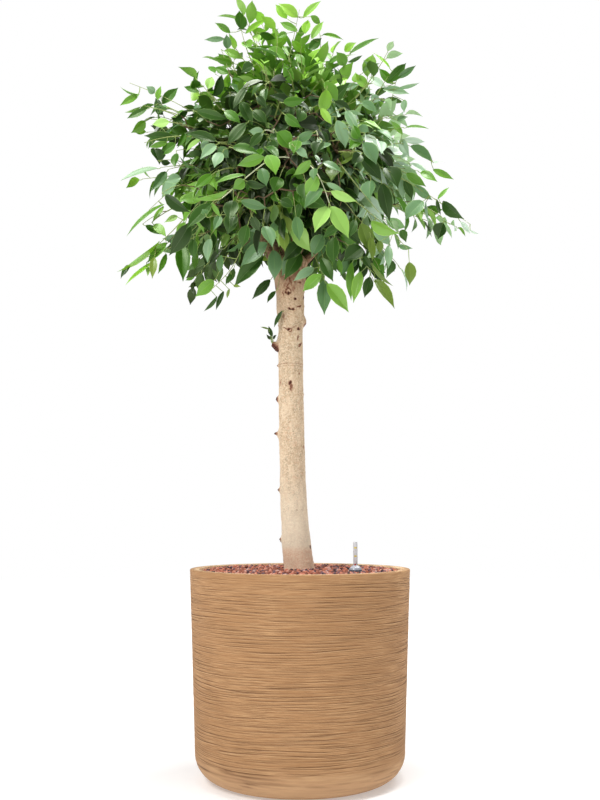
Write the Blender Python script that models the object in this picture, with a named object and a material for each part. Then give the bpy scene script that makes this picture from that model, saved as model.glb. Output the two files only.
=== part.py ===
# A weeping-type ficus grown as a standard: one bare stem in a ribbed round planter, a head of
# boughs and a shaggy crown of leaf masses. Metres, +Z up, the front towards -Y.
# The origin is the centre of the planter's flat underside.
import math

import bmesh
import bpy
from mathutils import Matrix, Vector, noise

SEAT_GAP = 0.0003

# Planter: a turned shell with a rounded foot and a slightly wider mouth.
POT_HEIGHT = 0.395
POT_MOUTH_RADIUS = 0.215
POT_FOOT_RADIUS = 0.2015
POT_FOOT_ROUND = 0.050
POT_WALL = 0.018
POT_FLOOR = 0.015
POT_INNER_ROUND = 0.035
RIM_OUTER_ROUND = 0.006
RIM_INNER_ROUND = 0.003
POT_SIDES = 40
FOOT_ARC_STEPS = 4
RIM_ARC_STEPS = 2

# Clay granules: they fill the planter, level round the stem and a little lower at the wall.
FILL_TOP = 0.394
FILL_EDGE_DROP = 0.006
FILL_LEVEL_RADIUS = 0.150

# Water gauge: a domed cap on the granules with a thin tube standing on it.
GAUGE_PLACE = (0.105, -0.073)
GAUGE_CAP_RADIUS = 0.0118
GAUGE_CAP_HEIGHT = 0.0110
GAUGE_FLANGE = 0.0045
GAUGE_FLANGE_STEP = 0.0015
GAUGE_DOME_STEPS = 3
GAUGE_TUBE_SEAT_MARGIN = 0.0006
GAUGE_TUBE_RADIUS = 0.0041
GAUGE_TUBE_TOP = 0.4485
GAUGE_SIDES = 16

# Stem: radii and lean from the granules to the head that carries the boughs.
STEM_FOOT_X = -0.003
STEM_FOOT_SWEEP = -0.0135
STEM_SWEEP_HEIGHT = 0.10
STEM_LEAN = -0.006
STEM_WAIST_RADIUS = 0.0242
STEM_FOOT_SWELL = 0.0058
STEM_FOOT_SWELL_HEIGHT = 0.13
ROOT_FLARE = 0.0016
ROOT_FLARE_HEIGHT = 0.018
ROOT_FLARE_LOBES = 4
ROOT_FLARE_LOBE_DEPTH = 0.5
STEM_NECK_SWELL = 0.0043
STEM_NECK_LOW = 0.872
STEM_NECK_HIGH = 0.930
HEAD_SWELL = 0.0078
HEAD_LOW = 0.962
HEAD_HIGH = 0.995
HEAD_TOP = 1.034
FORK_HEIGHT = 0.986
STEM_SIDES = 16
STEM_RINGS = 19
STEM_RING_CROWDING = 0.10
HEAD_SEAT_DISTANCE = 0.0345

# Sprout: a short spur on the stem's left side with a tuft of young leaves.
SPUR_HEIGHT = 0.840
SPUR_LENGTH = 0.013
SPUR_RADIUS = 0.0042
SPUR_STANDOFF = 0.0008
SPUR_RISE_SHARE = 0.7
SPUR_TIP_SHARE = 0.7
SPUR_COLLAR = 0.002
TUFT_CENTRE = (-0.0660, -0.004, 0.8640)
TUFT_RADII = (0.016, 0.015, 0.033)

# Boughs: two rings and a leader, each one tapering limb.
BOUGH_SIDES = 8
BOUGH_STEPS = 4
BOUGH_OVERRUN = 0.020
BOUGH_COLLAR = 0.004
BOUGH_BEND_SHARE = 0.45
BOUGH_TAPER_POWER = 0.8
LOW_BOUGHS = {"count": 5, "rise": 38, "first": 0, "base": 0.0088, "tip": 0.0052}
HIGH_BOUGHS = {"count": 5, "rise": 63, "first": 38, "base": 0.0080, "tip": 0.0048}
LEADER = {"base": 0.0076, "tip": 0.0044, "sway": 0.009}

# Crown: rings of leaf masses round a bare heart, where only boughs run.
CROWN_AXIS_X = -0.0215
HEART_HEIGHT = 1.100
HEART_RADIUS = 0.120
CLEAR_RADII = {"skirt": 0.046, "middle": 0.107, "upper": 0.028}
CROWN_SEED = 6
RING_JITTER_DEGREES = 14
RING_JITTER_SHARE = 0.10
RING_JITTER_HEIGHT = 0.018
MASS_UNEVENNESS = 0.30
BOUGH_ENTRY = 0.87
MASS_GRAIN = 1.7
MASS_POINTS = 104
SPRAY_UNEVENNESS = 0.22
SPRAY_POINTS = 40
SPRAY_SEAT = 0.94
SPRAY_SEAT_MARGIN = 0.004
SPRAY_SEARCH_STEPS = 60
SPRAY_FOOT = 0.012
SPRAY_DEPTH_SHARE = 0.45
# ring: masses, first azimuth, radius, height, half sizes (out, round, up), outward tilt in
# degrees, then how much wider and higher the ring stands on its right side than in the middle
MASS_RINGS = {
    "skirt": (7, 8, 0.172, 1.058, (0.112, 0.118, 0.080), -20, -0.016, -0.010),
    "middle": (5, 0, 0.176, 1.170, (0.124, 0.150, 0.112), -8, 0.006, -0.006),
    "upper": (5, 38, 0.156, 1.314, (0.118, 0.122, 0.096), 4, -0.004, 0.018),
    "crest": (3, 170, 0.062, 1.434, (0.090, 0.086, 0.084), 20, -0.022, -0.014),
}
TOP_MASS = {"height": 1.395, "sizes": (0.088, 0.088, 0.100), "foot": 1.305}
# spray: azimuth, then radius and height of its root and of its tip, then half width
SPRAYS = {
    "spray_right": (-7, 0.225, 1.140, 0.380, 1.056, 0.036),
    "spray_right_outer": (-2, 0.200, 1.215, 0.330, 1.180, 0.040),
    "spray_right_low": (-18, 0.165, 1.060, 0.254, 0.950, 0.026),
    "spray_right_hanging": (-30, 0.160, 1.050, 0.224, 0.893, 0.026),
    "spray_right_high": (-7, 0.160, 1.365, 0.262, 1.418, 0.030),
    "spray_left_low": (188, 0.215, 1.030, 0.346, 0.976, 0.040),
    "spray_left_thin": (193, 0.170, 1.120, 0.345, 1.054, 0.030),
    "spray_left_middle": (183, 0.170, 1.200, 0.345, 1.172, 0.032),
    "spray_left_high": (180, 0.190, 1.320, 0.350, 1.366, 0.040),
    "spray_left_shoulder": (172, 0.190, 1.300, 0.340, 1.310, 0.036),
    "spray_front_low": (-56, 0.135, 1.020, 0.182, 0.884, 0.034),
    "spray_front_left_low": (211, 0.150, 1.020, 0.195, 0.888, 0.023),
    "spray_front": (-100, 0.215, 1.190, 0.338, 1.130, 0.034),
    "spray_back_right": (42, 0.215, 1.180, 0.345, 1.110, 0.034),
    "spray_back": (96, 0.190, 1.330, 0.318, 1.345, 0.034),
    "spray_back_left": (134, 0.200, 1.050, 0.338, 0.990, 0.036),
    "spray_top_left": (184, 0.060, 1.440, 0.108, 1.549, 0.018),
    "spray_top_left_outer": (184, 0.070, 1.430, 0.176, 1.486, 0.030),
    "spray_top": (0, 0.030, 1.470, 0.055, 1.567, 0.016),
}

COLORS = {
    "pot": ((0.50, 0.29, 0.14, 1.0), 0.80),
    "granules": ((0.42, 0.15, 0.10, 1.0), 0.90),
    "bark": ((0.62, 0.50, 0.34, 1.0), 0.85),
    "bough": ((0.33, 0.22, 0.13, 1.0), 0.85),
    "gauge_cap": ((0.45, 0.50, 0.52, 1.0), 0.40),
    "gauge_tube": ((0.75, 0.77, 0.76, 1.0), 0.25),
    "leaf_deep": ((0.020, 0.085, 0.015, 1.0), 0.60),
    "leaf_mid": ((0.035, 0.150, 0.022, 1.0), 0.55),
    "leaf_fresh": ((0.120, 0.330, 0.040, 1.0), 0.55),
}


def clear_scene():
    for obj in list(bpy.data.objects):
        bpy.data.objects.remove(obj, do_unlink=True)


def finish_material(name):
    found = bpy.data.materials.get(name)
    if found:
        return found
    color, roughness = COLORS[name]
    made = bpy.data.materials.new(name)
    made.use_nodes = True
    shader = made.node_tree.nodes["Principled BSDF"]
    shader.inputs["Base Color"].default_value = color
    shader.inputs["Roughness"].default_value = roughness
    made.diffuse_color = color
    return made


def add_object(name, bm, finish, smooth_degrees=35):
    bmesh.ops.recalc_face_normals(bm, faces=bm.faces)
    mesh = bpy.data.meshes.new(name)
    bm.to_mesh(mesh)
    bm.free()
    mesh.materials.append(finish_material(finish))
    mesh.shade_smooth()
    mesh.set_sharp_from_angle(angle=math.radians(smooth_degrees))
    obj = bpy.data.objects.new(name, mesh)
    bpy.context.scene.collection.objects.link(obj)
    return obj


def smooth_step(low, high, value):
    share = min(max((value - low) / (high - low), 0.0), 1.0)
    return share * share * (3 - 2 * share)


def arc(centre, radius, start_degrees, end_degrees, steps):
    """Points (radius from the axis, height) along an arc of a turned profile."""
    points = []
    for step in range(steps + 1):
        angle = math.radians(start_degrees + (end_degrees - start_degrees) * step / steps)
        points.append((centre[0] + radius * math.cos(angle), centre[1] + radius * math.sin(angle)))
    return points


def turned(name, profile, sides, finish, place=(0.0, 0.0)):
    """Spins a profile of (radius, height) points, which starts and ends on the axis."""
    bm = bmesh.new()
    line = [bm.verts.new((radius, 0, height)) for radius, height in profile]
    edges = [bm.edges.new(pair) for pair in zip(line, line[1:])]
    bmesh.ops.spin(
        bm, geom=line + edges, cent=(0, 0, 0), axis=(0, 0, 1), angle=math.tau, steps=sides, use_merge=True
    )
    bmesh.ops.remove_doubles(bm, verts=bm.verts, dist=1e-5)
    bmesh.ops.translate(bm, verts=bm.verts, vec=(place[0], place[1], 0))
    return add_object(name, bm, finish)


def pot_radius(height):
    """The wall's outer radius, above its rounded foot."""
    share = (height - POT_FOOT_ROUND) / (POT_HEIGHT - POT_FOOT_ROUND)
    return POT_FOOT_RADIUS + (POT_MOUTH_RADIUS - POT_FOOT_RADIUS) * share


def pot_hollow(top, inset):
    """The hollow's profile, from the floor's centre up the wall, set in by a gap."""
    floor = POT_FLOOR + inset
    corner_height = POT_FLOOR + POT_INNER_ROUND
    corner = (pot_radius(corner_height) - POT_WALL - POT_INNER_ROUND, corner_height)
    points = [(0.0, floor)]
    points += arc(corner, POT_INNER_ROUND - inset, -90, 0, FOOT_ARC_STEPS)
    points.append((pot_radius(top) - POT_WALL - inset, top))
    return points


def make_pot():
    foot_centre = (POT_FOOT_RADIUS - POT_FOOT_ROUND, POT_FOOT_ROUND)
    outer_centre = (POT_MOUTH_RADIUS - RIM_OUTER_ROUND, POT_HEIGHT - RIM_OUTER_ROUND)
    inner_centre = (POT_MOUTH_RADIUS - POT_WALL + RIM_INNER_ROUND, POT_HEIGHT - RIM_INNER_ROUND)
    profile = [(0.0, 0.0)]
    profile += arc(foot_centre, POT_FOOT_ROUND, -90, 0, FOOT_ARC_STEPS)
    profile += arc(outer_centre, RIM_OUTER_ROUND, 0, 90, RIM_ARC_STEPS)
    profile += arc(inner_centre, RIM_INNER_ROUND, 90, 180, 1)
    profile += reversed(pot_hollow(POT_HEIGHT - 2 * RIM_INNER_ROUND, 0.0))
    return turned("pot", profile, POT_SIDES, "pot")


def make_fill():
    profile = pot_hollow(FILL_TOP - FILL_EDGE_DROP, SEAT_GAP)
    profile.append((FILL_LEVEL_RADIUS, FILL_TOP))
    profile.append((0.0, FILL_TOP))
    return turned("clay_granules", profile, POT_SIDES, "granules")


def make_gauge():
    low = FILL_TOP + SEAT_GAP
    top = low + GAUGE_CAP_HEIGHT
    dome_radius = GAUGE_CAP_RADIUS - GAUGE_FLANGE_STEP
    dome_rise = GAUGE_CAP_HEIGHT - GAUGE_FLANGE
    flat = GAUGE_TUBE_RADIUS + GAUGE_TUBE_SEAT_MARGIN
    cap = [(0.0, low), (GAUGE_CAP_RADIUS, low), (GAUGE_CAP_RADIUS, low + GAUGE_FLANGE)]
    for step in range(GAUGE_DOME_STEPS + 1):
        share = step / GAUGE_DOME_STEPS
        radius = dome_radius + (flat - dome_radius) * share
        cap.append((radius, low + GAUGE_FLANGE + dome_rise * math.sin(share * math.pi / 2)))
    cap.append((0.0, top))
    turned("water_gauge_cap", cap, GAUGE_SIDES, "gauge_cap", GAUGE_PLACE)
    tip = GAUGE_TUBE_RADIUS * 0.5
    tube = [(0.0, top + SEAT_GAP), (GAUGE_TUBE_RADIUS, top + SEAT_GAP)]
    tube += [(GAUGE_TUBE_RADIUS, GAUGE_TUBE_TOP - tip), (GAUGE_TUBE_RADIUS - tip, GAUGE_TUBE_TOP)]
    tube.append((0.0, GAUGE_TUBE_TOP))
    turned("water_gauge_tube", tube, GAUGE_SIDES, "gauge_tube", GAUGE_PLACE)


def cut_flat(bm, point, normal):
    """Cuts away what lies beyond a plane, on its normal's side, and closes the cut."""
    geometry = bm.verts[:] + bm.edges[:] + bm.faces[:]
    bmesh.ops.bisect_plane(
        bm, geom=geometry, dist=1e-6, plane_co=point, plane_no=normal, clear_outer=True
    )
    rim = [edge for edge in bm.edges if edge.is_boundary]
    if rim:
        bmesh.ops.holes_fill(bm, edges=rim, sides=0)


def loft(rings):
    """A closed skin over rings of points, with a flat cap at each end."""
    bm = bmesh.new()
    loops = [[bm.verts.new(point) for point in ring] for ring in rings]
    for lower, upper in zip(loops, loops[1:]):
        for side in range(len(lower)):
            following = (side + 1) % len(lower)
            bm.faces.new((lower[side], lower[following], upper[following], upper[side]))
    bm.faces.new(list(reversed(loops[0])))
    bm.faces.new(loops[-1])
    return bm


def limb(path, radii):
    """A tapering limb along a path; each ring turns with the path and doesn't twist."""
    rings = []
    side = Vector((0.0, 1.0, 0.0))
    for step, centre in enumerate(path):
        before = path[max(step - 1, 0)]
        after = path[min(step + 1, len(path) - 1)]
        along = (after - before).normalized()
        side = (side - along * side.dot(along)).normalized()
        across = along.cross(side)
        ring = []
        for turn in range(BOUGH_SIDES):
            angle = math.tau * (turn + 0.5) / BOUGH_SIDES
            ring.append(centre + (side * math.cos(angle) + across * math.sin(angle)) * radii[step])
        rings.append(ring)
    return loft(rings)


def stem_centre(height):
    rise = height - FILL_TOP
    share = rise / (HEAD_TOP - FILL_TOP)
    sweep = STEM_FOOT_SWEEP * (1 - math.exp(-rise / STEM_SWEEP_HEIGHT))
    return Vector((STEM_FOOT_X + sweep + STEM_LEAN * share, 0.0, height))


def stem_radius(height, angle):
    rise = height - FILL_TOP
    radius = STEM_WAIST_RADIUS
    radius += STEM_FOOT_SWELL * math.exp(-rise / STEM_FOOT_SWELL_HEIGHT)
    radius += STEM_NECK_SWELL * smooth_step(STEM_NECK_LOW, STEM_NECK_HIGH, height)
    radius += HEAD_SWELL * smooth_step(HEAD_LOW, HEAD_HIGH, height)
    lobe = 1 + ROOT_FLARE_LOBE_DEPTH * math.cos(ROOT_FLARE_LOBES * angle)
    return radius + ROOT_FLARE * lobe * math.exp(-rise / ROOT_FLARE_HEIGHT)


def make_stem(bough_starts):
    """The stem from the granules to its head, which has one flat seat for each bough."""
    low = FILL_TOP + SEAT_GAP
    rings = []
    for step in range(STEM_RINGS):
        share = step / (STEM_RINGS - 1)
        # Rings lie closer together at the foot and at the head than along the bare shaft.
        share -= STEM_RING_CROWDING * math.sin(math.tau * share)
        height = low + (HEAD_TOP - low) * share
        centre = stem_centre(height)
        ring = []
        for side in range(STEM_SIDES):
            angle = math.tau * (side + 0.5) / STEM_SIDES
            radius = stem_radius(height, angle)
            ring.append(centre + Vector((math.cos(angle) * radius, math.sin(angle) * radius, 0)))
        rings.append(ring)
    bm = loft(rings)
    for start in bough_starts:
        cut_flat(bm, fork_point() + start * HEAD_SEAT_DISTANCE, start)
    return add_object("trunk", bm, "bark")


def fork_point():
    return stem_centre(FORK_HEIGHT)


def heart_point():
    return Vector((CROWN_AXIS_X, 0.0, HEART_HEIGHT))


def crown_point(azimuth, radius, height):
    angle = math.radians(azimuth)
    return Vector((CROWN_AXIS_X + radius * math.cos(angle), radius * math.sin(angle), height))


def start_direction(azimuth, rise):
    angle = math.radians(azimuth)
    level = math.cos(math.radians(rise))
    return Vector((level * math.cos(angle), level * math.sin(angle), math.sin(math.radians(rise))))


def bough_path(start, end):
    """A smooth arc that leaves the head along start and runs a little past end."""
    first = fork_point() + start * (HEAD_SEAT_DISTANCE + SEAT_GAP)
    reach = (end - first).length
    bend = first + start * reach * BOUGH_BEND_SHARE
    last = end + (end - bend).normalized() * BOUGH_OVERRUN
    path = [first, first + start * BOUGH_COLLAR]
    for step in range(1, BOUGH_STEPS + 1):
        share = step / BOUGH_STEPS
        path.append(first * (1 - share) ** 2 + bend * 2 * share * (1 - share) + last * share**2)
    return path


def tapered(count, base, tip):
    return [base + (tip - base) * (step / (count - 1)) ** BOUGH_TAPER_POWER for step in range(count)]


def make_bough(name, start, seat_point, seat_normal, sizes):
    """A bough from its seat on the head to the flat inner face of the mass that it feeds."""
    path = bough_path(start, seat_point)
    bm = limb(path, tapered(len(path), sizes["base"], sizes["tip"]))
    cut_flat(bm, seat_point - seat_normal * SEAT_GAP, seat_normal)
    return add_object(name, bm, "bough")


def make_leader(foot_height):
    start = Vector((0.0, 0.0, 1.0))
    first = fork_point() + start * (HEAD_SEAT_DISTANCE + SEAT_GAP)
    last = Vector((CROWN_AXIS_X, 0.0, foot_height + BOUGH_OVERRUN))
    path = [first, first + start * BOUGH_COLLAR]
    for step in range(1, BOUGH_STEPS + 2):
        share = step / (BOUGH_STEPS + 1)
        point = first.lerp(last, share)
        point.x += LEADER["sway"] * math.sin(math.tau * share) * (1 - share * 0.5)
        point.y += LEADER["sway"] * math.sin(math.pi * share)
        path.append(point)
    bm = limb(path, tapered(len(path), LEADER["base"], LEADER["tip"]))
    cut_flat(bm, Vector((0, 0, foot_height - SEAT_GAP)), start)
    return add_object("bough_leader", bm, "bough")


def frame_axes(outward, sizes):
    """Columns are the mass's half axes: out, round and up."""
    out = outward.normalized()
    up_hint = Vector((0, 0, 1)) if abs(out.z) < 0.9 else Vector((0, 1, 0))
    round_axis = up_hint.cross(out).normalized()
    up = out.cross(round_axis)
    columns = [out * sizes[0], round_axis * sizes[1], up * sizes[2]]
    return Matrix(columns).transposed()


def new_mass(name, finish, centre, outward, sizes, kind):
    return {
        "name": name,
        "finish": finish,
        "centre": centre,
        "axes": frame_axes(outward, sizes),
        "kind": kind,
        "cuts": [],
        "phase": Vector((centre.x * 31, centre.y * 37, centre.z * 41)),
    }


def mass_swell(mass, direction):
    """The uneven surface's distance from the centre, as a share of the plain ellipsoid's."""
    unevenness = SPRAY_UNEVENNESS if mass["kind"] == "spray" else MASS_UNEVENNESS
    return 1 + unevenness * noise.noise(direction * MASS_GRAIN + mass["phase"])


def mass_reach(mass, direction):
    """Distance from the mass's centre to its uneven surface in a world direction."""
    local = mass["axes"].inverted() @ direction
    return mass_swell(mass, local.normalized()) / local.length


def mass_span(mass, direction):
    """Half the mass's extent along a direction, with room for its unevenness."""
    return (mass["axes"].transposed() @ direction).length * (1 + MASS_UNEVENNESS / 2)


def ring_masses():
    finishes = {"skirt": "leaf_deep", "middle": "leaf_mid", "upper": "leaf_mid", "crest": "leaf_fresh"}
    masses = []
    for kind, (count, first, radius, height, sizes, tilt, widen, lift) in MASS_RINGS.items():
        for index in range(count):
            jitter = noise.noise_vector(Vector((index * 2.3, height * 9, radius * 17)))
            azimuth = first + 360 * index / count + jitter.x * RING_JITTER_DEGREES
            right = math.cos(math.radians(azimuth))
            reach = (radius + widen * right) * (1 + jitter.y * RING_JITTER_SHARE)
            rise = height + lift * right + jitter.z * RING_JITTER_HEIGHT
            centre = crown_point(azimuth, reach, rise)
            outward = start_direction(azimuth, tilt)
            name = f"foliage_{kind}_{index + 1}"
            masses.append(new_mass(name, finishes[kind], centre, outward, sizes, kind))
    return masses


def top_mass():
    """The mass on the crown's axis, with a flat foot for the leader."""
    centre = Vector((CROWN_AXIS_X, 0.0, TOP_MASS["height"]))
    mass = new_mass("foliage_crown_core", "leaf_mid", centre, Vector((1, 0, 0)), TOP_MASS["sizes"], "core")
    mass["cuts"].append((Vector((0, 0, TOP_MASS["foot"])), Vector((0, 0, -1))))
    return mass


def spray_masses():
    masses = []
    for name, (azimuth, root_radius, root_height, tip_radius, tip_height, width) in SPRAYS.items():
        root = crown_point(azimuth, root_radius, root_height)
        tip = crown_point(azimuth, tip_radius, tip_height)
        centre = (root + tip) / 2
        sizes = ((tip - root).length / 2, width, width * SPRAY_DEPTH_SHARE)
        masses.append(new_mass("foliage_" + name, "leaf_fresh", centre, tip - root, sizes, "spray"))
    return masses


def cut_apart(one, other, meet, normal):
    """Cuts two masses back to a plane between them; normal points from one to the other."""
    one["cuts"].append((meet - normal * SEAT_GAP / 2, normal))
    other["cuts"].append((meet + normal * SEAT_GAP / 2, -normal))


def share_space(masses):
    """Neighbours that would run into each other are each cut back to one plane between them."""
    for index, one in enumerate(masses):
        for other in masses[index + 1 :]:
            between = other["centre"] - one["centre"]
            normal = between.normalized()
            if mass_span(one, normal) + mass_span(other, normal) < between.length:
                continue
            near = mass_reach(one, normal)
            far = mass_reach(other, -normal)
            cut_apart(one, other, one["centre"] + between * near / (near + far), normal)


def holds_point(mass, point):
    """Whether a point is within a mass, a little under its surface and clear of its cuts."""
    across = point - mass["centre"]
    if across.length > SPRAY_SEAT * mass_reach(mass, across.normalized()):
        return False
    return all((point - cut).dot(normal) < -SPRAY_SEAT_MARGIN for cut, normal in mass["cuts"])


def seat_spray(spray, bodies):
    """Seats a spray on the first mass that its axis enters, coming in from its tip."""
    along = spray["axes"].col[0]
    for step in range(SPRAY_SEARCH_STEPS):
        point = spray["centre"] + along * (1 - 2 * step / SPRAY_SEARCH_STEPS)
        carriers = [body for body in bodies if holds_point(body, point)]
        if carriers:
            break
    for body in bodies:
        normal = (point - body["centre"]).normalized()
        apart = (spray["centre"] - body["centre"]).dot(normal)
        if body in carriers:
            cut_apart(body, spray, point, normal)
        elif mass_span(body, normal) + mass_span(spray, normal) > apart:
            cut_apart(body, spray, point - normal * SPRAY_FOOT, normal)


def bough_seat(mass):
    """The middle and the outward normal of the flat inner face where a bough meets a mass."""
    across = mass["centre"] - heart_point()
    normal = across.normalized()
    entry = across.length - mass_reach(mass, -normal) * BOUGH_ENTRY
    return heart_point() + normal * max(HEART_RADIUS, entry), normal


def hollow_out(masses):
    """Keeps the crown's heart bare, and the stem, the boughs and the leader clear of leaves."""
    for mass in masses:
        seat, normal = bough_seat(mass)
        mass["cuts"].append((seat, -normal))
        clear_radius = CLEAR_RADII.get(mass["kind"])
        if clear_radius:
            outward = mass["centre"] - heart_point()
            outward.z = 0.0
            outward.normalize()
            mass["cuts"].append((heart_point() + outward * clear_radius, -outward))


def ball_points(count):
    """Evenly spread directions, along a spiral from pole to pole."""
    points = []
    for index in range(count):
        height = 1 - (2 * index + 1) / count
        angle = index * math.pi * (3 - math.sqrt(5))
        level = math.sqrt(1 - height * height)
        points.append(Vector((level * math.cos(angle), level * math.sin(angle), height)))
    return points


def keep_largest_body(bm):
    """Drops the crumbs that a cut across an uneven surface can leave."""
    bodies = []
    waiting = set(bm.verts)
    while waiting:
        body = set()
        edge_of_body = [waiting.pop()]
        while edge_of_body:
            vert = edge_of_body.pop()
            body.add(vert)
            for edge in vert.link_edges:
                other = edge.other_vert(vert)
                if other in waiting:
                    waiting.remove(other)
                    edge_of_body.append(other)
        bodies.append(body)
    bodies.sort(key=len)
    crumbs = [vert for body in bodies[:-1] for vert in body]
    bmesh.ops.delete(bm, geom=crumbs, context="VERTS")


def make_mass(mass):
    bm = bmesh.new()
    for direction in ball_points(SPRAY_POINTS if mass["kind"] == "spray" else MASS_POINTS):
        bm.verts.new(direction)
    bmesh.ops.convex_hull(bm, input=bm.verts)
    for vert in bm.verts:
        direction = vert.co.normalized()
        vert.co = mass["centre"] + mass["axes"] @ (direction * mass_swell(mass, direction))
    for point, normal in mass["cuts"]:
        cut_flat(bm, point, normal)
    keep_largest_body(bm)
    return add_object(mass["name"], bm, mass["finish"], smooth_degrees=50)


def make_boughs(masses):
    """One bough for each middle and upper mass, and a leader for the crown's core."""
    starts = [Vector((0.0, 0.0, 1.0))]
    for kind, ring, word in (("middle", LOW_BOUGHS, "low"), ("upper", HIGH_BOUGHS, "high")):
        fed = [mass for mass in masses if mass["kind"] == kind]
        for index, mass in enumerate(fed):
            seat, normal = bough_seat(mass)
            start = start_direction(ring["first"] + 360 * index / ring["count"], ring["rise"])
            starts.append(start)
            make_bough(f"bough_{word}_{index + 1}", start, seat, normal, ring)
    make_leader(TOP_MASS["foot"])
    return starts


def make_sprout():
    apothem = stem_radius(SPUR_HEIGHT, math.pi) * math.cos(math.pi / STEM_SIDES)
    # The stem leans and tapers past the spur's upright base, so the base stands off a little.
    face = stem_centre(SPUR_HEIGHT).x - apothem - SPUR_STANDOFF
    first = Vector((face, 0.0, SPUR_HEIGHT))
    last = first + Vector((-SPUR_LENGTH, 0.0, SPUR_LENGTH * SPUR_RISE_SHARE))
    path = [first, first + Vector((-SPUR_COLLAR, 0, 0)), (first + last) / 2, last]
    radii = tapered(len(path), SPUR_RADIUS, SPUR_RADIUS * SPUR_TIP_SHARE)
    add_object("sprout_spur", limb(path, radii), "bark")
    tuft = new_mass("sprout_tuft", "leaf_mid", Vector(TUFT_CENTRE), Vector((-1, 0, 0)), TUFT_RADII, "spray")
    along = (last - path[-2]).normalized()
    tuft["cuts"].append((last + along * SEAT_GAP, -along))
    make_mass(tuft)


def main():
    clear_scene()
    noise.seed_set(CROWN_SEED)
    make_pot()
    make_fill()
    make_gauge()
    masses = ring_masses() + [top_mass()]
    share_space(masses)
    hollow_out(masses)
    sprays = spray_masses()
    share_space(sprays)
    for spray in sprays:
        seat_spray(spray, masses)
    starts = make_boughs(masses)
    make_stem(starts)
    make_sprout()
    for mass in masses + sprays:
        make_mass(mass)


main()
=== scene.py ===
import math
import random

import bmesh
import bpy
import numpy as np
from mathutils import Matrix, Vector, noise
from mathutils.bvhtree import BVHTree


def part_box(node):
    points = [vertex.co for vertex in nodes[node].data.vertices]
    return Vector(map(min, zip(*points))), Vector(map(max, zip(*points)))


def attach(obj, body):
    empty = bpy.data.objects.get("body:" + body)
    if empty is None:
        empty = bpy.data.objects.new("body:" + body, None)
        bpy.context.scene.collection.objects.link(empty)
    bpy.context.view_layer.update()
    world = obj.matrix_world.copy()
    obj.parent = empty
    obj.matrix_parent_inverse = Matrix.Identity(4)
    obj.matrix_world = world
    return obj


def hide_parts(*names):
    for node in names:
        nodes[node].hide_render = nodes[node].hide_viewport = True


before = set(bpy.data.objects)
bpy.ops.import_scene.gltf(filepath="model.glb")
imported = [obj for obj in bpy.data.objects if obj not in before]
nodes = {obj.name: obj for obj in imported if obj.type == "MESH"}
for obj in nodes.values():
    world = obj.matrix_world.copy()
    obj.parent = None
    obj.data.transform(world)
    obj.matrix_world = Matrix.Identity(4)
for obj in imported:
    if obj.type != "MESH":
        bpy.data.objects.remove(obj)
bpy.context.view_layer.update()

noise.seed_set(3)
up = Vector((0, 0, 1))


# shader helpers: a wrapped socket for the maths, and one method for every node

class Wire:
    # an output socket that adds, subtracts and multiplies like a number
    def __init__(self, paint, socket):
        self.paint = paint
        self.socket = socket

    def maths(self, operation, first, second):
        return self.paint.node("ShaderNodeMath", {"operation": operation}, {0: first, 1: second})


for name, kind in (("add", "ADD"), ("sub", "SUBTRACT"), ("mul", "MULTIPLY")):
    setattr(Wire, f"__{name}__", lambda self, other, kind=kind: self.maths(kind, self, other))
    setattr(Wire, f"__r{name}__", lambda self, other, kind=kind: self.maths(kind, other, self))


class Paint:
    def __init__(self, name, look):
        self.material = bpy.data.materials.new(name)
        self.material.use_nodes = True
        self.tree = self.material.node_tree
        self.shader = self.tree.nodes["Principled BSDF"]
        self.dress(look)

    def dress(self, look):
        self.fill(self.shader, look)

    def fill(self, node, sockets):
        # a colour of three parts is given as it looks on screen, 0 to 255
        for key, value in sockets.items():
            socket = node.inputs[key]
            if isinstance(value, Wire):
                self.tree.links.new(value.socket, socket)
            elif socket.type == "RGBA" and len(value) == 3:
                socket.default_value = tone(*value)
            else:
                socket.default_value = value

    def node(self, kind, settings=None, sockets=None, output=0):
        made = self.tree.nodes.new(kind)
        for key, value in (settings or {}).items():
            setattr(made, key, value)
        self.fill(made, sockets or {})
        return Wire(self, made.outputs[output])

    def coords(self):
        return self.node("ShaderNodeTexCoord", output="Object")

    def height(self):
        return self.node("ShaderNodeSeparateXYZ", None, {0: self.coords()}, "Z")

    def grain(self, size, stretch=(1, 1, 1), detail=3.0, rough=0.55):
        scale = [1 / (size * part) for part in stretch]
        place = self.node("ShaderNodeMapping", None, {"Vector": self.coords(), "Scale": scale})
        sockets = {"Vector": place, "Scale": 1.0, "Detail": detail, "Roughness": rough}
        return self.node("ShaderNodeTexNoise", None, sockets, "Fac")

    def step(self, value, low, high):
        sockets = {"Value": value, "From Min": low, "From Max": high}
        return self.node("ShaderNodeMapRange", {"interpolation_type": "SMOOTHSTEP"}, sockets)

    def mix(self, factor, first, second):
        sockets = {0: factor, 6: first, 7: second}
        return self.node("ShaderNodeMix", {"data_type": "RGBA"}, sockets, 2)

    def over(self, body, *layers):
        # lays one colour after another over a body, each by its own share
        for share, colour in layers:
            body = self.mix(share, body, colour)
        return body

    def mark(self, name):
        return self.node("ShaderNodeAttribute", {"attribute_name": name}, output="Fac")

    def bump(self, height, depth):
        return self.node("ShaderNodeBump", None, {"Height": height, "Distance": depth})


def tone(red, green, blue):
    # a screen colour, 0 to 255, as the linear light that shaders take
    shares = [part / 255 for part in (red, green, blue)]
    return [s / 12.92 if s <= 0.04045 else ((s + 0.055) / 1.055) ** 2.4 for s in shares] + [1.0]


# modelling helpers

def settle():
    if bpy.context.mode != "OBJECT":
        bpy.ops.object.mode_set(mode="OBJECT")
    bpy.ops.object.select_all(action="DESELECT")


def take(*shapes):
    # selects these shapes and no others, with the first one active
    settle()
    for shape in shapes:
        shape.select_set(True)
    bpy.context.view_layer.objects.active = shapes[0]


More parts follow.
